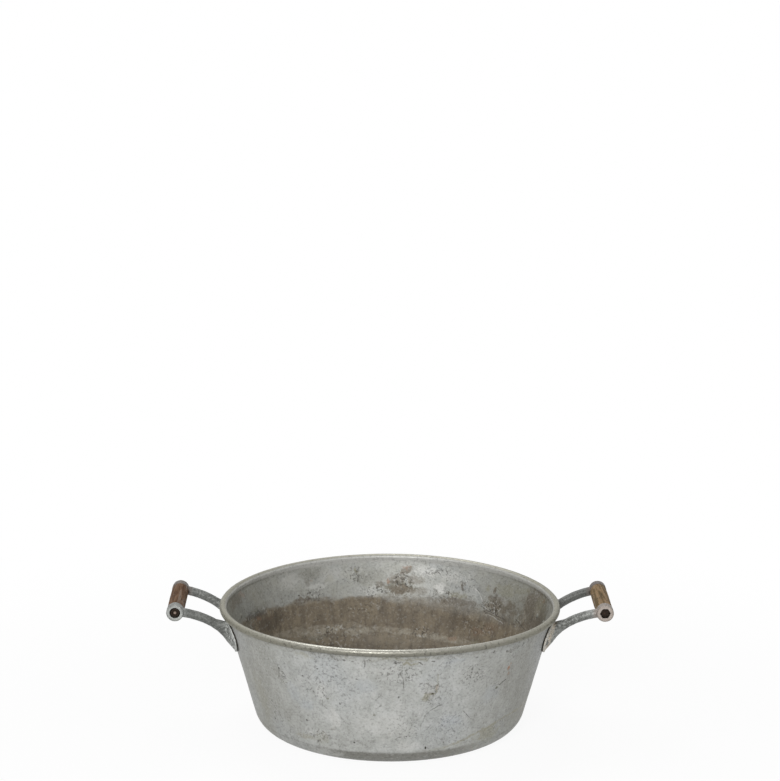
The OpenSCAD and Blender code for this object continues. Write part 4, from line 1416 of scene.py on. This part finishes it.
class BASIN_OT_stage(bpy.types.Operator):
    """Set the pale floor, the soft light and the camera"""

    bl_idname = "basin.stage"
    bl_label = "Floor, light and camera"

    def execute(self, context):
        scene = context.scene
        scene.view_settings.view_transform = "Standard"
        colours = scene.basin_colours

        bpy.ops.mesh.primitive_plane_add(size=80.0, location=(0.0, 0.0, -0.0003))
        floor = context.active_object
        floor.name = "pale_floor"
        material = bpy.data.materials.new("pale floor")
        wires = emptied(material)
        matt = wires.out("ShaderNodeBsdfPrincipled", Base_Color=(*colours.floor, 1.0), Roughness=0.9,
            Specular_IOR_Level=0.1)
        white = wires.out("ShaderNodeEmission", Color=(1.0, 1.0, 1.0, 1.0), Strength=1.0)
        away = wires.vector("LENGTH", wires.out("ShaderNodeTexCoord", pick="Object"))
        whiteness = away.ramp(0.3, 1.0, 0.93, 1.0)
        share = self.seen_rays(wires) * whiteness
        wires.node("ShaderNodeOutputMaterial", Surface=wires.out("ShaderNodeMixShader", share, matt, white))
        floor.data.materials.append(material)

        world = bpy.data.worlds.new("soft room")
        scene.world = world
        wires = emptied(world)
        strength = self.seen_rays(wires) * 0.72 + 0.28
        sky = wires.out("ShaderNodeBackground", Color=(1.0, 1.0, 1.0, 1.0), Strength=strength)
        wires.node("ShaderNodeOutputWorld", Surface=sky)

        for name, power, size, place, aim in (
            ("key_light", 57.0, 1.2, (-0.6, -2.8, 1.5), (0.0, 0.0, 0.08)),
            ("top_light", 18.0, 1.3, (-0.4, 0.9, 2.2), (0.0, 0.0, 0.1)),
        ):
            lamp = bpy.data.lights.new(name, "AREA")
            lamp.shape, lamp.size, lamp.energy = "DISK", size, power
            light = in_scene(name, lamp)
            light.location = place
            light.rotation_euler = (Vector(aim) - Vector(place)).to_track_quat("-Z", "Y").to_euler()

        lens = bpy.data.cameras.new("photo_camera")
        lens.sensor_width, lens.lens, lens.clip_end = 36.0, 116.25, 200.0
        camera = in_scene("photo_camera", lens)
        turn = (Matrix.Rotation(math.radians(-0.706), 4, "Z")
                @ Matrix.Rotation(math.radians(90 - 11.909), 4, "X")
                @ Matrix.Rotation(math.radians(0.296), 4, "Z"))
        camera.matrix_world = Matrix.Translation((-0.0407, -3.2068, 1.1275)) @ turn
        scene.camera = camera
        return {"FINISHED"}

    @staticmethod
    def seen_rays(wires):
        """1 for what the camera sees straight, in gloss or through glass, and 0 for the light on surfaces."""
        path = wires.node("ShaderNodeLightPath").outputs
        seen = wires.most(path["Is Camera Ray"], path["Is Glossy Ray"])
        return wires.most(seen, path["Is Transmission Ray"])


STEPS = (
    BASIN_OT_zinc_sheet, BASIN_OT_rim_wire, BASIN_OT_cast_arms, BASIN_OT_rivets, BASIN_OT_wooden_grips,
    BASIN_OT_tie_bolts, BASIN_OT_tie_nuts, BASIN_OT_stage,
)


class BASIN_PT_pieces(bpy.types.Panel):
    """The wash basin's pieces"""

    bl_idname = "BASIN_PT_pieces"
    bl_label = "Wash basin"
    bl_space_type = "VIEW_3D"
    bl_region_type = "UI"
    bl_category = "Wash basin"

    def draw(self, context):
        for step in STEPS:
            self.layout.operator(step.bl_idname)
        for group in (context.scene.basin_sheet, context.scene.basin_handles, context.scene.basin_colours):
            box = self.layout.box()
            for name in group.__annotations__:
                box.prop(group, name)


CLASSES = (BASIN_PG_sheet, BASIN_PG_handles, BASIN_PG_colours, *STEPS, BASIN_PT_pieces)


def register():
    for each in CLASSES:
        bpy.utils.register_class(each)
    bpy.types.Scene.basin_sheet = bpy.props.PointerProperty(type=BASIN_PG_sheet)
    bpy.types.Scene.basin_handles = bpy.props.PointerProperty(type=BASIN_PG_handles)
    bpy.types.Scene.basin_colours = bpy.props.PointerProperty(type=BASIN_PG_colours)


def unregister():
    del bpy.types.Scene.basin_sheet, bpy.types.Scene.basin_handles, bpy.types.Scene.basin_colours
    for each in reversed(CLASSES):
        bpy.utils.unregister_class(each)


def main():
    register()
    bpy.ops.basin.zinc_sheet()
    bpy.ops.basin.rim_wire()
    bpy.ops.basin.cast_arms()
    bpy.ops.basin.rivets()
    bpy.ops.basin.wooden_grips()
    bpy.ops.basin.tie_bolts()
    bpy.ops.basin.tie_nuts()
    bpy.ops.basin.stage()
    bpy.context.view_layer.update()
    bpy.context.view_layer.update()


if __name__ == "__main__":
    main()
